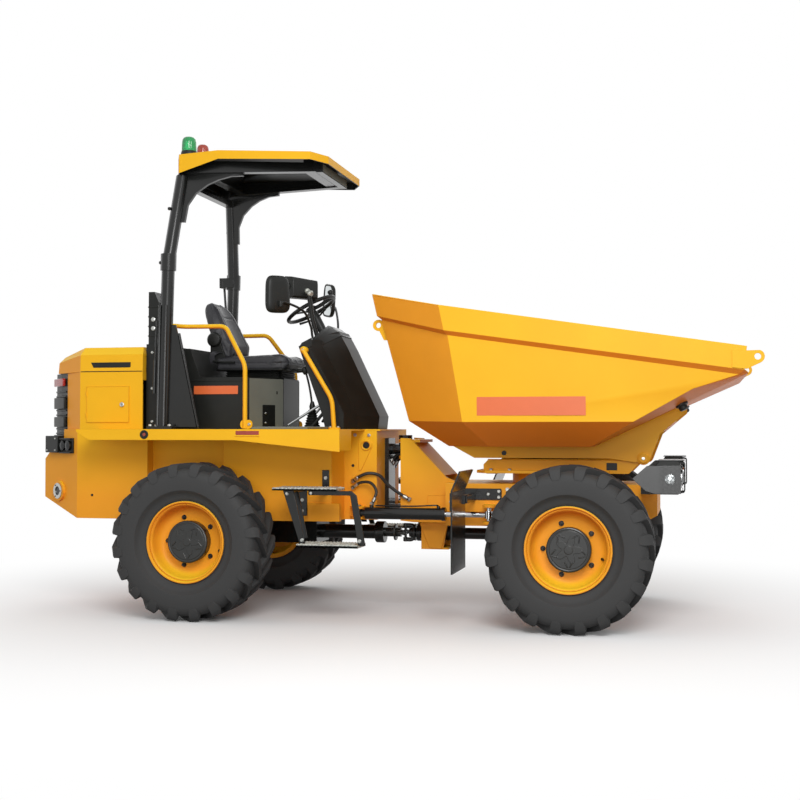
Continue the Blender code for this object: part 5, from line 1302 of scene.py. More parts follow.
def console_strip(s):
    """The strip along the edge between the console's side and its slanting front: three corners of the edge,
    each with a near and a far point, stood off the panel by 3 mm."""
    rows = []
    for (x0, y0), (x1, y1), z in (
        ((0.935, 0.4235), (1.009, 0.31), 1.312), ((0.933, 0.4235), (1.004, 0.31), 1.42),
        ((0.676, 0.4235), (0.748, 0.32), 1.905), ((0.698, 0.372), (0.742, 0.3), 1.955)
    ):
        way = np.array([y0 - y1, x1 - x0]) / math.hypot(x1 - x0, y1 - y0)
        back = 0.006 * way
        rows.append(
            [
                (x0, s * y0, z), (x1, s * y1, z), (x1 + back[0], s * (y1 + back[1]), z),
                (x0 + back[0], s * (y0 + back[1]), z)
            ]
        )
    return skin(np.array(rows), around=True, caps=True)


def column():
    """Steering column with its bellows and stalks, and the wheel: a torus P = c + (R + r cos b) spoke(a) +
    r sin b axis, three flat spokes and a domed boss."""
    d, u, v = square_to(DASH_UP)
    boot = [(0.0, 0.0)] + [
        ((0.056 - 0.0022 * k) if k % 2 else (0.047 - 0.0022 * k), 0.004 + 0.0085 * k) for k in range(11)
    ] + [(0.0, 0.094)]
    parts = [turned(boot, DASH, DASH_UP, 32)]
    parts.append(
        turned(
            [(0, 0.08), (0.03, 0.08), (0.034, 0.12), (0.036, 0.235), (0.028, 0.262), (0, 0.262)], DASH, DASH_UP,
            28
        )
    )
    column_obj = make("steering_column_cover", together(*parts), PLASTIC, sharp=45.0)
    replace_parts(column_obj, "steering_column")
    stalks = []
    for hand, reach in ((-1.0, 0.125), (1.0, 0.105)):
        root = DASH + d * 0.205 + hand * v * 0.03
        tip = DASH + d * 0.222 + hand * v * reach + u * 0.03
        stalks.append(tube(spline([root, (root + tip) / 2, tip], 5), np.linspace(0.0065, 0.0095, 11), 10))
    stalks.append(turned([(0, 0), (0.013, 0), (0.013, 0.022), (0, 0.024)], DASH + d * 0.15 - u * 0.034, -u, 16))
    make("column_stalks", together(*stalks), PLASTIC, sharp=45.0)
    centre = DASH + d * 0.28
    rim = skin(torus_points(centre, d, u, v, 0.19, 0.0148), around=True, along=True)
    spokes = []
    for a in np.radians((90, 210, 330)):
        out = math.cos(a) * u + math.sin(a) * v
        path = spline(
            [
                centre + out * 0.02 - d * 0.004, centre + out * 0.07 - d * 0.008,
                centre + out * 0.13 - d * 0.004, centre + out * 0.186
            ],
            5
        )
        spokes.append(tube(path, 0.008, 10, 1.9))
    boss = turned(
        [
            (0, -0.017), (0.03, -0.017), (0.042, -0.004), (0.044, 0.006), (0.036, 0.016), (0.018, 0.02),
            (0, 0.021)
        ],
        centre, d, 36
    )
    wheel = make("steering_wheel_rim", together(rim, boss, *spokes), PLASTIC, "steering_wheel", sharp=50.0)
    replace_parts(wheel, "steering_wheel")
    grip = turned(
        [(0, 0), (0.01, 0), (0.011, 0.01), (0.019, 0.022), (0.021, 0.036), (0.014, 0.046), (0, 0.049)],
        centre + 0.19 * v + d * 0.008, d, 20
    )
    make("steering_knob", grip, PLASTIC, "steering_wheel", sharp=45.0)


def torus_points(centre, d, u, v, major, minor, around=64, across=14):
    """A torus: P = centre + (major + minor cos b) (cos a u + sin a v) + minor sin b d."""
    a = (2 * math.pi * np.arange(around) / around)[:, None, None]
    b = (2 * math.pi * np.arange(across) / across)[None, :, None]
    spoke = np.cos(a) * u + np.sin(a) * v
    return centre + (major + minor * np.cos(b)) * spoke + minor * np.sin(b) * d


def mirror(name, s):
    """A mirror head: superellipse rings |p|^4.5 + |q|^4.5 = share, shrinking towards the back of the shell,
    and a pane set into its face. Each is turned its own way, as a driver leaves it. Its arm bends up from
    the dash."""
    centre = np.array([0.52, s * 0.645, 2.254 if s < 0 else 2.335])
    face = square_to((-0.8, -s * 0.6, 0.0))[0]
    up = square_to((-0.05, 0.0, 1.0) if s < 0 else (0.27, 0.0, 1.0))[0]
    up = square_to(up - face * (up @ face))[0]
    across = np.cross(up, face)
    a = 2 * math.pi * np.arange(48) / 48
    p, q = (np.sign(f) * np.abs(f) ** (2 / 4.5) for f in (np.cos(a), np.sin(a)))
    narrow = 1 - 0.06 * q

    def rings(pairs):
        """Rings of the head's outline, one for each (share of its size, distance forward)."""
        share, depth = np.array(pairs).T[:, :, None, None]
        flat = 0.096 * (p * narrow)[:, None] * across + 0.132 * q[:, None] * up
        return centre + share * flat + depth * face

    shell = [(0.9, 0.014), (0.985, 0.0195), (1.0, 0.014), (1.0, 0.002), (0.965, -0.01), (0.86, -0.0195)]
    shell = skin(rings(shell + [(0.62, -0.0245), (0.25, -0.0258)]), around=True, caps=True)
    foot = np.array([0.69, s * 0.33, 1.9533])
    back = centre - face * 0.03 - up * 0.07
    arm = [
        foot, foot + DASH_UP * 0.03, (0.672, s * 0.36, 2.05), (0.645, s * 0.45, 2.15),
        back + (0.03, -s * 0.02, 0.01), back
    ]
    knuckle = turned([(0, -0.02), (0.015, -0.02), (0.018, 0.0), (0.015, 0.02), (0, 0.02)], back, up, 20)
    parts = together(shell, tube(spline(arm, 6), 0.0088, 12), knuckle)
    obj = make(f"mirror_{name}_head", parts, PLASTIC, sharp=45.0)
    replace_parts(obj, f"mirror_{name}")
    pane = skin(rings([(0.885, 0.013), (0.885, 0.016), (0.87, 0.0168)]), around=True, caps=True)
    make(f"mirror_{name}_pane", pane, "mirror_glass", sharp=30.0)


def display():
    """The display: a wedge-backed box turned towards the driver, given along its width w and its depth, with a
    screen, a round knob on its outer end and a ball mount behind it."""
    w, out = np.array([0.6, 0.8, 0.0]), np.array([0.8, -0.6, 0.0])
    corner = np.array([0.56, -0.392, 0.0])

    def placed(points):
        """(along w, out of the back, height) to the frame."""
        return corner + points[:, :1] * w + points[:, 1:2] * out + points[:, 2:] * [0, 0, 1.0]

    box = np.array([
        [(-0.01, 0.0, 2.266), (0.21, 0.0, 2.266), (0.21, 0.0, 2.362), (-0.01, 0.0, 2.384)],
        [(-0.016, -0.014, 2.256), (0.216, -0.014, 2.256), (0.216, -0.014, 2.392), (-0.016, -0.014, 2.408)],
        [(-0.018, -0.1, 2.256), (0.218, -0.1, 2.256), (0.218, -0.1, 2.41), (-0.018, -0.1, 2.418)],
    ])
    case = skin(placed(box.reshape(-1, 3)).reshape(3, 4, 3), around=True, caps=True)
    ball = [
        (0, 0), (0.02, 0.0), (0.02, 0.01), (0.011, 0.016), (0.011, 0.024), (0.021, 0.034), (0.024, 0.046),
        (0.018, 0.06), (0, 0.066)
    ]
    mount = turned(ball, placed(np.array([[0.11, 0.0, 2.312]]))[0], (0.7, -0.5, -0.5), 24)
    stalk = tube([(0.65, -0.33, 2.27), (0.668, -0.3, 2.1), (0.7, -0.27, 1.957)], 0.016, 12)
    obj = make("display_case", together(case, stalk), PLASTIC, edge=0.004)
    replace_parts(obj, "display_unit")
    make("display_mount", mount, "galvanised_steel", sharp=40.0)
    knob = turned(
        [(0, 0), (0.024, 0), (0.024, 0.003), (0.019, 0.005), (0.017, 0.012), (0, 0.013)],
        placed(np.array([[-0.017, -0.055, 2.34]]))[0], -w, 28
    )
    make("display_knob", knob, PLASTIC, sharp=35.0)
    pane = np.array(
        [(0.002, -0.1015, 2.272), (0.198, -0.1015, 2.272), (0.198, -0.1015, 2.398), (0.002, -0.1015, 2.402)]
    )
    rows = np.stack([pane, pane + (0.0, 0.003, 0.0)])
    make(
        "display_pane", skin(placed(rows.reshape(-1, 3)).reshape(2, 4, 3), around=True, caps=True), "dark_glass"
    )


def levers():
    """Gear lever in its gaiter, pedals, brake lever, the display's lead, and the binnacle with its switches."""
    x, y, floor = 0.676, -0.33, DECK_TOP + 0.014
    rings = [(0.054, 0.0)]
    for k in range(7):
        rings += [(0.058 - 0.0045 * k, 0.012 + 0.018 * k), (0.046 - 0.0045 * k, 0.021 + 0.018 * k)]
    gaiter = [(0, 0)] + rings + [(0.022, 0.15), (0.012, 0.186), (0, 0.187)]
    parts = [turned(gaiter, (x, y, floor), (0, 0, 1), 32)]
    parts.append(
        tube(
            spline([(x, y, 1.47), (x - 0.012, y, 1.56), (x - 0.028, y, 1.64), (x - 0.048, y, 1.715)], 4),
            0.0075, 10
        )
    )
    knob = [(0, 0), (0.012, 0.0), (0.022, 0.018), (0.0255, 0.036), (0.022, 0.052), (0.01, 0.06), (0, 0.0615)]
    parts.append(turned(knob, (x - 0.05, y, 1.7), (-0.15, 0, 1), 24))
    obj = make("gear_lever_set", together(*parts), PLASTIC, sharp=50.0)
    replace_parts(obj, "gear_lever")
    pedals, pads = [], []
    for py in (-0.235, 0.14, 0.26):
        arm = spline([(0.76, py, 1.52), (0.7, py, 1.45), (0.655, py, 1.4)], 5)
        pedals.append(tube(arm, 0.009, 8))
        pads.append(prism(rounded(-0.045, 0.045, -0.035, 0.035, 0.01), 0.0, 0.012))
        pads[-1] = (
            pads[-1][0] @ np.array([[0.55, 0, 0.835], [0, 1, 0], [-0.835, 0, 0.55]]) + [0.645, py, 1.392],
            pads[-1][1]
        )
    make("pedal_arms", together(*pedals), "chromed_rod", sharp=60.0)
    make("pedal_pads", together(*pads), PLASTIC, edge=0.002)
    bars = [
        tube([(0.52, -0.405, DECK_TOP + 0.03), (0.76, -0.405, 1.48)], 0.0095, 12),
        tube([(0.5, -0.34, DECK_TOP + 0.022), (0.53, -0.405, DECK_TOP + 0.034)], 0.007, 10),
    ]
    make("brake_lever_bar", together(*bars), "chromed_rod", sharp=60.0)
    brace = tube([(0.7, -0.405, DECK_TOP + 0.02), (0.79, -0.405, 1.43)], 0.012, 8)
    make("brake_lever_base", brace, PLASTIC, sharp=60.0)
    lead = spline(
        [
            (0.64, -0.262, 2.3), (0.655, -0.25, 2.2), (0.668, -0.252, 2.08), (0.69, -0.24, 1.985),
            (0.7, -0.235, 1.956)
        ],
        8
    )
    make("display_lead", tube(lead, 0.0045, 8), "hose_rubber", sharp=60.0)
    pod = prism(rounded(-0.13, 0.13, -0.11, 0.11, 0.03), 0.0, 0.018)
    across, up = np.array([0.0, 1.0, 0.0]), DASH_UP / np.linalg.norm(DASH_UP)
    along = np.cross(across, up)
    place = DASH + pod[0][:, :1] * across + pod[0][:, 1:2] * along + pod[0][:, 2:] * up
    make("dash_binnacle", (place, pod[1]), PLASTIC, edge=0.004)
    switches = [(0.0, 0.31 - 0.045 * k, 0.0) for k in range(3)]
    key = prism(rounded(-0.016, 0.016, -0.011, 0.011, 0.003), 0.0, 0.01)
    base = key[0][:, :1] * across + key[0][:, 1:2] * along + key[0][:, 2:] * up + DASH
    make("dash_switches", repeated((base, key[1]), switches), "dark_glass", edge=0.002)


def steps():
    """Two galvanised treads a side with raised serrated rings, on black folded brackets."""
    for name, s in SIDES.items():
        def slab(x0, x1, y0, y1, z0, z1):
            """A box given with positive Y, on this side of the machine."""
            return block(x0, x1, s * y0, s * y1, z0, z1)

        wall = 0.6003
        front = [
            (0.84, 0.862), (0.84, 0.892), (1.14, 0.892), (1.175, 0.862), (1.235, 0.528), (1.185, 0.528),
            (1.13, 0.862)
        ]
        brackets = [
            slab(0.655, 0.725, wall, 0.612, 0.7, 0.905),
            slab(0.835, 0.885, wall, 0.612, 0.86, 1.02),
            slab(0.665, 0.715, 0.606, 0.955, 0.872, 0.8925),
            slab(0.84, 0.88, 0.606, 0.955, 0.865, 0.8925),
            prism([(0.66, 0.892), (0.735, 0.892), (0.82, 0.528), (0.78, 0.528)], s * 0.94, s * 0.952, SIDE),
            prism(front, s * 0.94, s * 0.952, SIDE),
            prism([(0.655, 0.88), (0.725, 0.88), (0.79, 0.56), (0.745, 0.56)], s * 0.8, s * 0.812, SIDE),
        ]
        make(f"step_brackets_{name}", together(*brackets), BLACK, edge=0.003)
        treads = []
        for x0, x1, y0, y1, z0, z1 in (
            (0.6, 1.05, 0.8, 1.000, 0.893, 0.915), (0.77, 1.195, 0.79, 1.000, 0.515, 0.54)
        ):
            treads.append(slab(x0, x1, y0, y1, z0, z1 - 0.01))
            treads += [slab(x0, x1, y, y + 0.008, z0, z1 - 0.004) for y in (y0, y1 - 0.008)]
            tooth = turned(
                [(0.013, 0.0), (0.0145, 0.005), (0.0118, 0.0088), (0.0095, 0.005), (0.01, 0.0)], (0, 0, 0),
                (0, 0, 1), 12, ring=True
            )
            nx = int((x1 - x0 - 0.03) / 0.031)
            spots = [
                (x0 + 0.027 + 0.031 * i, s * (y0 + 0.026 + 0.037 * j), z1 - 0.0105) for i in range(nx)
                for j in range(5)
            ]
            treads.append(repeated(tooth, spots))
            nick = [
                (x0 + 0.012 + 0.0215 * i, s * y, z1 - 0.004) for i in range(int((x1 - x0) / 0.0215))
                for y in (y0 + 0.004, y1 - 0.004)
            ]
            spike = prism(
                [(-0.007, -0.001), (0.007, -0.001), (0.004, 0.004), (-0.004, 0.004)], -0.004, 0.004, SIDE
            )
            treads.append(repeated(spike, nick))
        tread_obj = make(f"step_treads_{name}", together(*treads), "galvanised_steel")
        # Painted shade: black discs stand in for the shade inside the holes along each tread's edge
        hole_shades = []
        for x0, x1, z in ((0.6, 1.05, 0.902), (0.77, 1.195, 0.5255)):
            disc = prism(rounded(-0.0085, 0.0085, -0.0045, 0.0045, 0.0042), -0.0009, 0.0009, SIDE)
            count = int((x1 - x0) / 0.031)
            hole_shades.append(repeated(disc, [(x0 + 0.022 + 0.031 * i, s, z) for i in range(count)]))
        make(f"step_hole_shades_{name}", together(*hole_shades), PLASTIC)
        spots = [(x, s * 0.612, z) for x, z in ((0.69, 0.735), (0.69, 0.81), (0.86, 0.965))]
        spots += [(x, s * 0.952, z) for x, z in ((0.69, 0.872), (0.86, 0.877), (1.196, 0.56), (0.796, 0.56))]
        fasten(f"step_bolts_{name}", spots, (0, s, 0), 0.019)
        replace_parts(tread_obj, f"step_{name}")


# ---------------------------------------------------------------- hydraulics


def fitting(at, way, size=0.011):
    """A swaged hose end: a hexagon nut, a collar and a ferrule, turned one after the other."""
    nut = turned([(0, 0), (1.45 * size, 0), (1.45 * size, 1.3 * size), (0, 1.3 * size)], at, way, 6)
    rest = [
        (0, 1.2 * size), (0.75 * size, 1.2 * size), (0.75 * size, 2.0 * size), (1.2 * size, 2.1 * size),
        (1.2 * size, 4.6 * size), (1.0 * size, 4.8 * size), (0, 4.8 * size)
    ]
    return together(nut, turned(rest, at, way, 16))


def hose(name, points, radius, bodies):
    """A hose along a smooth curve, with a swaged fitting at each end. Between two bodies the hose rides on
    neither, and each end rides on its own body.
    """
    path = spline(points, 8)
    line = tube(path, radius, 12)
    ends = [
        fitting(path[0], path[1] - path[0], radius * 1.12),
        fitting(path[-1], path[-2] - path[-1], radius * 1.12)
    ]
    if len(bodies) == 1:
        make(name, line, "hose_rubber", bodies[0], sharp=60.0)
        make(name + "_ends", together(*ends), ZINC, bodies[0])
        return
    obj = make(name, line, "hose_rubber", None, sharp=60.0)
    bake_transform(obj)
    for place, end_shape, body in zip(("start", "stop"), ends, bodies):
        make(f"{name}_{place}", end_shape, ZINC, body)


def hydraulics():
    """The steering rams with their glands and pipes, the hoses, the valve block and the rotary coupling."""
    both = (REAR, AHEAD)
    for name, s in SIDES.items():
        merged(f"steer_barrel_{name}", BLACK, 40.0)
        merged(f"steer_rod_{name}", "chromed_rod", 40.0)
        hose(
            f"steer_hose_rear_{name}",
            [
                (0.985, s * 0.372, 0.885), (1.05, s * 0.385, 0.925), (1.13, s * 0.405, 0.925),
                (1.178, s * 0.43, 0.872), (1.168, s * 0.448, 0.812), (1.15, s * 0.452, 0.775)
            ],
            0.0105, (REAR, f"steer_barrel_{name}")
        )
        collar = [
            turned(
                [(0, 0), (0.048, 0), (0.048, 0.024), (0.045, 0.027), (0, 0.027)], (1.655, s * RAM_Y, RAM_Z),
                (1, 0, 0), 32
            ),
            turned([(0, 0), (0.015, 0), (0.015, 0.02), (0, 0.02)], (1.15, s * RAM_Y, 0.752), (0, 0, 1), 16),
            turned([(0, 0), (0.013, 0), (0.013, 0.018), (0, 0.018)], (1.63, s * RAM_Y, 0.752), (0, 0, 1), 16),
        ]
        make(f"ram_gland_{name}", together(*collar), BLACK, f"steer_barrel_{name}", edge=0.001)
        pipe = spline(
            [
                (1.63, s * RAM_Y, 0.772), (1.6, s * 0.462, 0.775), (1.45, s * 0.47, 0.768),
                (1.25, s * 0.466, 0.768), (1.18, s * 0.455, 0.768)
            ],
            8
        )
        make(f"ram_pipe_{name}", tube(pipe, 0.0055, 8), BLACK, f"steer_barrel_{name}", sharp=60.0)
        caps = [(1.985, s * RAM_Y, RAM_Z + 0.0455), (1.05, s * RAM_Y, RAM_Z + 0.0495)]
        cap = [(0, 0), (0.026, 0), (0.026, 0.006), (0.02, 0.009), (0, 0.009)]
        make(f"ram_eye_cap_{name}", turned(cap, caps[0], (0, 0, 1), 20), ZINC, f"steer_rod_{name}")
        make(f"ram_base_cap_{name}", turned(cap, caps[1], (0, 0, 1), 20), ZINC)
    hose(
        "main_hose_a",
        [
            (0.984, -0.352, 0.931), (1.04, -0.372, 0.968), (1.11, -0.372, 0.992), (1.18, -0.345, 0.975),
            (1.235, -0.3, 0.905), (1.325, -0.265, 0.835), (1.385, -0.25, 0.8)
        ],
        0.0115, both
    )
    for k in range(4):
        y = 0.155 - 0.055 * k
        z = 1.02 + 0.02 * (k % 2)
        points = [
            (1.172, y, z), (1.2, y, z + 0.05), (1.255, y - 0.02, z + 0.08), (1.33, y - 0.03, z + 0.04),
            (1.4, y - 0.02, z - 0.02), (1.44, y, z - 0.05)
        ]
        hose(f"cross_hose_{k}", points, 0.01, both)
    block_shape = prism(rounded(1.402, 1.452, -0.19, 0.19, 0.01), 0.96, 1.01)
    make("valve_block", block_shape, ZINC, AHEAD, edge=0.003)
    swivel = turned(
        [(0, 0), (0.075, 0), (0.075, 0.045), (0.06, 0.052), (0.06, 0.07), (0, 0.07)], (SLEW_X, 0, 1.02),
        (0, 0, 1), 32
    )
    make("rotary_coupling", swivel, BLACK, "turntable", edge=0.002)


# ---------------------------------------------------------------- lamps and flaps


def lamps():
    """The headlights in their guards, and the mudflaps on their brackets."""
    dress(BLACK, "mudflap_right", "mudflap_left")
    dress(PLASTIC, "headlight_right", "headlight_left")
    for name, s in SIDES.items():
        bezels, glass = [], []
        for y in (0.618, 0.737):
            at = (3.2805, s * y, 0.992)
            bezels.append(
                turned(
                    [(0.044, 0.0), (0.052, 0.0), (0.052, 0.01), (0.048, 0.012), (0.044, 0.01)], at, (1, 0, 0),
                    36, ring=True
                )
            )
            glass.append(
                turned(
                    [(0, 0.0015), (0.0445, 0.0015), (0.0445, 0.004), (0.03, 0.0075), (0, 0.0095)], at,
                    (1, 0, 0), 36
                )
            )
        make(f"lamp_bezels_{name}", together(*bezels), "chromed_rod", AHEAD, sharp=40.0)
        make(f"lamp_glass_{name}", together(*glass), "lamp_glass", AHEAD, sharp=40.0)
        guard = [
            tube(
                filleted(
                    [(3.268, s * y, 0.895), (3.305, s * y, 0.9), (3.305, s * y, 1.085), (3.268, s * y, 1.092)],
                    0.012
                ),
                0.004, 8
            )
            for y in (0.572, 0.626, 0.68, 0.734, 0.785)
        ]
        guard += [tube([(3.305, s * 0.565, z), (3.305, s * 0.792, z)], 0.004, 8) for z in (0.925, 0.992, 1.06)]
        make(f"lamp_guard_{name}", together(*guard), BLACK, AHEAD, sharp=60.0)
        hood = prism(
            [(3.139, 1.1005), (3.139, 1.1075), (3.302, 1.1075), (3.302, 1.0985), (3.296, 1.1005)], s * 0.548,
            s * 0.806, SIDE
        )
        arm = prism(
            [(2.975, 0.985), (3.069, 1.068), (3.283, 1.072), (3.283, 0.89), (3.119, 0.888), (3.06, 0.905)],
            s * 0.8002, s * 0.8042, SIDE
        )
        make(f"lamp_hood_{name}", together(hood, arm), BLACK, AHEAD, edge=0.0015)
        glow = turned(
            [(0, 0.004), (0.034, 0.004), (0.03, 0.0065), (0.012, 0.009), (0, 0.0095)],
            (3.215, s * 0.8002, 0.982), (0, s, 0), 36
        )
        make(f"lamp_side_lens_{name}", glow, "lamp_glass", AHEAD, sharp=30.0)
        ring = [(0.01, 0.0), (0.0142, 0.0), (0.0142, 0.005), (0.01, 0.005)]
        cell = turned(ring, (0, 0, 0), (0, s, 0), 6, ring=True)
        spots = [
            (3.16 + 0.0246 * i, s * 0.806, 0.907 + 0.0284 * j + 0.0142 * (i % 2)) for i in range(6)
            for j in range(6)
        ]
        make(f"lamp_mesh_{name}", repeated(cell, spots), BLACK, AHEAD)
        plug = turned(
            [(0, 0), (0.02, 0), (0.02, 0.01), (0.012, 0.016), (0, 0.016)], (3.128, s * 0.7, 0.985), (-1, 0, 0),
            20
        )
        make(f"lamp_plug_{name}", plug, PLASTIC, AHEAD)
        # Bracket plate that the mudflap hangs from
        plate = prism(rounded(1.745, 2.06, 0.812, 0.892, 0.01), s * 0.356, s * 0.364, SIDE)
        arm = block(1.8645, 1.8765, s * 0.36, s * 0.69, 0.806, 0.855)
        strip = prism(
            [(1.8395, 0.775), (1.8325, 0.775), (1.8325, 0.893), (1.8395, 0.893)], s * 0.625, s * 1.095, SIDE
        )
        make(f"flap_bracket_{name}", together(plate, arm), BLACK, AHEAD, edge=0.002)
        make(f"flap_clamp_{name}", strip, BLACK, AHEAD, edge=0.001)
        spots = [(1.8325, s * y, 0.835) for y in (0.66, 0.76, 0.86, 0.96, 1.06)]
        fasten(f"flap_bolts_{name}", spots, (-1, 0, 0), 0.015, AHEAD)
        spots = [(x, s * 0.364, z) for x, z in ((1.965, 0.852), (2.04, 0.872), (2.04, 0.832))]
        fasten(f"bracket_bolts_{name}", spots, (0, s, 0), 0.016, AHEAD)


# ---------------------------------------------------------------- stage


def floor():
    """A pale flat floor: a disc of radius 60 m, z = 0."""
    points, faces = turned([(0.02, 0.0), (3.0, 0.0), (9.0, 0.0), (60.0, 0.0)], (0, 0, 0), (0, 0, 1), 64)
    faces.append(list(range(64)))
    obj = bpy.data.objects.new("floor", mesh_of("floor", points, faces, 60.0))
    bpy.context.scene.collection.objects.link(obj)
    obj.data.materials.append(backdrop())


def backdrop():
    """Painted studio floor: pale under the machine, and plain white for the camera, mirrors and glass from 3 m
    out, so that no edge of the floor is seen."""
    material = bpy.data.materials.new("painted_studio_floor")
    material.use_nodes = True
    nodes = material.node_tree.nodes
    nodes.clear()
    at = add(material, "ShaderNodeTexCoord", (), "Object")
    far = add(material, "ShaderNodeVectorMath", {0: at}, "Value", operation="LENGTH")
    share = add(
        material, "ShaderNodeMapRange", {"Value": far, "From Min": 1.2, "From Max": 5.0}, "Result",
        interpolation_type="SMOOTHSTEP"
    )
    path = add(material, "ShaderNodeLightPath")
    seen = add(
        material, "ShaderNodeMath", {0: path.outputs["Is Camera Ray"], 1: path.outputs["Is Glossy Ray"]},
        "Value", operation="MAXIMUM"
    )
    seen = add(
        material, "ShaderNodeMath", {0: seen, 1: path.outputs["Is Transmission Ray"]}, "Value",
        operation="MAXIMUM"
    )
    glow = add(material, "ShaderNodeMath", {0: share, 1: seen}, "Value", operation="MULTIPLY")
    tone = add(
        material, "ShaderNodeMix",
        {0: path.outputs["Is Camera Ray"], 6: (0.5, 0.5, 0.5, 1), 7: (0.96, 0.96, 0.96, 1)}, 2, data_type="RGBA"
    )
    matt = add(material, "ShaderNodeBsdfDiffuse", {"Color": tone}, "BSDF")
    white = add(material, "ShaderNodeEmission", {"Color": (1, 1, 1, 1), "Strength": 1.0}, "Emission")
    mixed = add(material, "ShaderNodeMixShader", {0: glow, 1: matt, 2: white}, "Shader")
    add(material, "ShaderNodeOutputMaterial", {"Surface": mixed})
    return material


def lamp(name, place, aim, size, watts):
    """A round area lamp at place that looks at aim."""
    data = bpy.data.lights.new(name, "AREA")
    data.shape, data.size, data.energy = "DISK", size, watts
    obj = bpy.data.objects.new(name, data)
    obj.location = place
    obj.rotation_euler = (Vector(aim) - Vector(place)).to_track_quat("-Z", "Y").to_euler()
    bpy.context.scene.collection.objects.link(obj)


def stage():
    """Camera, even white sky, three lamps and the floor."""
    scene, choice = bpy.context.scene, bpy.context.scene.dumper_stage
    scene.view_settings.view_transform = "Standard"
    data = bpy.data.cameras.new("camera")
    data.sensor_width, data.lens, data.clip_end = 36.0, choice.lens, 100.0
    camera = bpy.data.objects.new("camera", data)
    camera.location, camera.rotation_euler = choice.camera_place, choice.camera_turn
    scene.collection.objects.link(camera)
    scene.camera = camera
    world = bpy.data.worlds.new("studio")
    world.use_nodes = True
    scene.world = world
    world.node_tree.nodes.clear()
    path = add(world, "ShaderNodeLightPath")
    seen = add(
        world, "ShaderNodeMath", {0: path.outputs["Is Camera Ray"], 1: path.outputs["Is Glossy Ray"]}, "Value",
        operation="MAXIMUM"
    )
    seen = add(
        world, "ShaderNodeMath", {0: seen, 1: path.outputs["Is Transmission Ray"]}, "Value", operation="MAXIMUM"
    )
    level = add(world, "ShaderNodeMapRange", {"Value": seen, "To Min": choice.sky, "To Max": 1.0}, "Result")
    light = add(world, "ShaderNodeBackground", {"Color": (1, 1, 1, 1), "Strength": level}, "Background")
    add(world, "ShaderNodeOutputWorld", {"Surface": light})
    lamp("key", (2.2, -7.4, 5.4), (0.0, 0.0, 1.2), 4.0, choice.key)
    lamp("fill", (1.5, -9.5, 1.6), (0.0, 0.0, 0.9), 3.0, choice.key * 0.28)
    lamp("back", (-2.0, 7.0, 6.0), (0.0, 0.0, 1.2), 5.0, choice.key * 0.45)
    floor()


# ---------------------------------------------------------------- add-on


def colour_choice(name, description, code):
    """A colour setting whose default is an sRGB hex code."""
    return FloatVectorProperty(
        name=name, description=description, subtype="COLOR", size=3, min=0.0, max=1.0, default=linear(code)
    )


class DumperPaintAndPaintedLight(PropertyGroup):
    """Colours of the yellow enamel: its own side colour, with painted shade in the low and under colours and a
    painted highlight in the top colour
    """

    side: colour_choice("Side colour", "Enamel on upright faces above 1.25 m", "#F5B81E")
    # Painted shade: the low colour, low down and on faces that look back
    low: colour_choice("Low colour", "Enamel on upright faces below 0.8 m", "#F8A428")
    # Painted highlight: the top colour, on faces that look up
    top: colour_choice("Top colour", "Enamel on faces that look up", "#FBD02C")
    # Painted shade: the under colour, on faces that look down
    under: colour_choice("Under colour", "Enamel on faces that look down", "#E67C22")


class DumperTyre(PropertyGroup):
    """Tread of the tyres"""

    lugs: IntProperty(name="Lugs", description="Lugs on each shoulder of a tyre", default=20, min=12, max=28)
    lug_width: FloatProperty(
        name="Lug width", description="Half width of a lug", default=0.03, min=0.02, max=0.04, unit="LENGTH"
    )


class DumperStage(PropertyGroup):
    """Camera and light"""

    lens: FloatProperty(name="Lens", description="Focal length in mm", default=57.5, min=20.0, unit="CAMERA")
    camera_place: FloatVectorProperty(
        name="Camera place", description="Where the camera stands", subtype="TRANSLATION", unit="LENGTH",
        default=(2.1915, -9.18, 1.3),
    )
    camera_turn: FloatVectorProperty(
        name="Camera turn", description="How the camera is turned", subtype="EULER", unit="ROTATION",
        default=(math.radians(91.34), 0.0, math.radians(13.12)),
    )
    sky: FloatProperty(name="Sky", description="Strength of the light from all round", default=0.56, min=0.0)
    key: FloatProperty(
        name="Key lamp", description="Power of the main lamp", default=370.0, min=0.0, unit="POWER"
    )


class DUMPER_OT_stage(Operator):
    """Set up the camera, the lamps, the sky and the floor"""

    bl_idname = "dumper.stage"
    bl_label = "Stage"

    def execute(self, context):
        stage()
        return {"FINISHED"}


class DUMPER_OT_wheels(Operator):
    """Make the tyres, rims, hubs and wheel nuts"""

    bl_idname = "dumper.wheels"
    bl_label = "Wheels"

    def execute(self, context):
        wheels()
        return {"FINISHED"}


class DUMPER_OT_chassis(Operator):
    """Finish both frames, the axles, the deck and the hinge, and add their fittings and drive shafts"""

    bl_idname = "dumper.chassis"
    bl_label = "Chassis"

    def execute(self, context):
        chassis()
        return {"FINISHED"}


class DUMPER_OT_skip(Operator):
    """Finish the skip, its frame and the turntable, and add their fittings"""

    bl_idname = "dumper.skip"
    bl_label = "Skip"

    def execute(self, context):
        skip()
        return {"FINISHED"}


class DUMPER_OT_canopy(Operator):
    """Finish the roll bar and its roof, and add the fold joints, struts and beacons"""

    bl_idname = "dumper.canopy"
    bl_label = "Canopy"

    def execute(self, context):
        canopy()
        return {"FINISHED"}


class DUMPER_OT_engine(Operator):
    """Finish the engine housing and add its louvres, latches, lamps and air intake"""

    bl_idname = "dumper.engine"
    bl_label = "Engine end"

    def execute(self, context):
        engine()
        return {"FINISHED"}


class DUMPER_OT_seat(Operator):
    """Make the seat's cushions, suspension and grab rails"""

    bl_idname = "dumper.seat"
    bl_label = "Seat"

    def execute(self, context):
        seat()
        return {"FINISHED"}


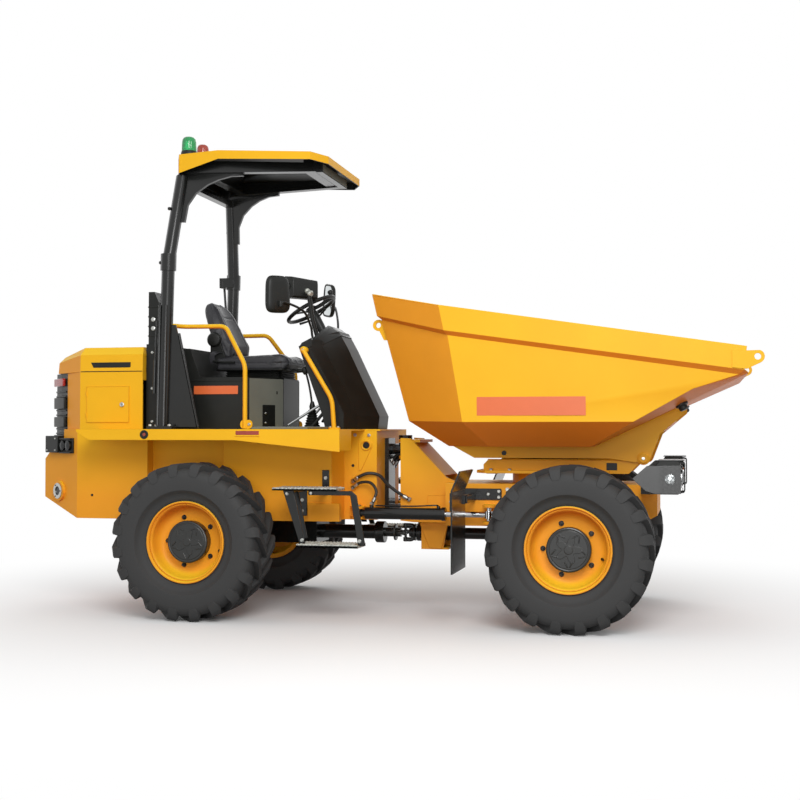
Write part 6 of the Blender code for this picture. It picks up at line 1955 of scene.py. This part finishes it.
class DUMPER_OT_controls(Operator):
    """Make the steering wheel, levers, pedals, mirrors, display and foot mat"""

    bl_idname = "dumper.controls"
    bl_label = "Controls"

    def execute(self, context):
        controls()
        return {"FINISHED"}


class DUMPER_OT_steps(Operator):
    """Make the galvanised steps and their brackets"""

    bl_idname = "dumper.steps"
    bl_label = "Steps"

    def execute(self, context):
        steps()
        return {"FINISHED"}


class DUMPER_OT_hydraulics(Operator):
    """Finish the rams and make the hoses"""

    bl_idname = "dumper.hydraulics"
    bl_label = "Hydraulics"

    def execute(self, context):
        hydraulics()
        return {"FINISHED"}


class DUMPER_OT_lamps(Operator):
    """Finish the headlights and mudflaps, and add guards, brackets and bolts"""

    bl_idname = "dumper.lamps"
    bl_label = "Lamps and flaps"

    def execute(self, context):
        lamps()
        return {"FINISHED"}


OPERATORS = (
    DUMPER_OT_stage,
    DUMPER_OT_wheels,
    DUMPER_OT_chassis,
    DUMPER_OT_skip,
    DUMPER_OT_canopy,
    DUMPER_OT_engine,
    DUMPER_OT_seat,
    DUMPER_OT_controls,
    DUMPER_OT_steps,
    DUMPER_OT_hydraulics,
    DUMPER_OT_lamps,
)
CHOICES = {"dumper_paint": DumperPaintAndPaintedLight, "dumper_tyre": DumperTyre, "dumper_stage": DumperStage}


class DUMPER_PT_panel(Panel):
    """Lists the sizes and colours, and the operators in order"""

    bl_label = "Site Dumper"
    bl_idname = "DUMPER_PT_panel"
    bl_space_type = "VIEW_3D"
    bl_region_type = "UI"
    bl_category = "Dumper"

    def draw(self, context):
        for name, group in CHOICES.items():
            box = self.layout.box()
            for key in group.__annotations__:
                box.prop(getattr(context.scene, name), key)
        for operator in OPERATORS:
            self.layout.operator(operator.bl_idname)


def register():
    """Registers the settings, the operators and the panel, and ties the settings to the scene."""
    for cls in (*CHOICES.values(), *OPERATORS, DUMPER_PT_panel):
        bpy.utils.register_class(cls)
    for name, group in CHOICES.items():
        setattr(bpy.types.Scene, name, PointerProperty(type=group))


def unregister():
    """Takes back what register did."""
    for name in CHOICES:
        delattr(bpy.types.Scene, name)
    for cls in (DUMPER_PT_panel, *OPERATORS, *CHOICES.values()):
        bpy.utils.unregister_class(cls)


def main():
    """Runs every operator in order."""
    register()
    bpy.ops.dumper.stage()
    bpy.ops.dumper.wheels()
    bpy.ops.dumper.chassis()
    bpy.ops.dumper.skip()
    bpy.ops.dumper.canopy()
    bpy.ops.dumper.engine()
    bpy.ops.dumper.seat()
    bpy.ops.dumper.controls()
    bpy.ops.dumper.steps()
    bpy.ops.dumper.hydraulics()
    bpy.ops.dumper.lamps()


if __name__ == "__main__":
    main()
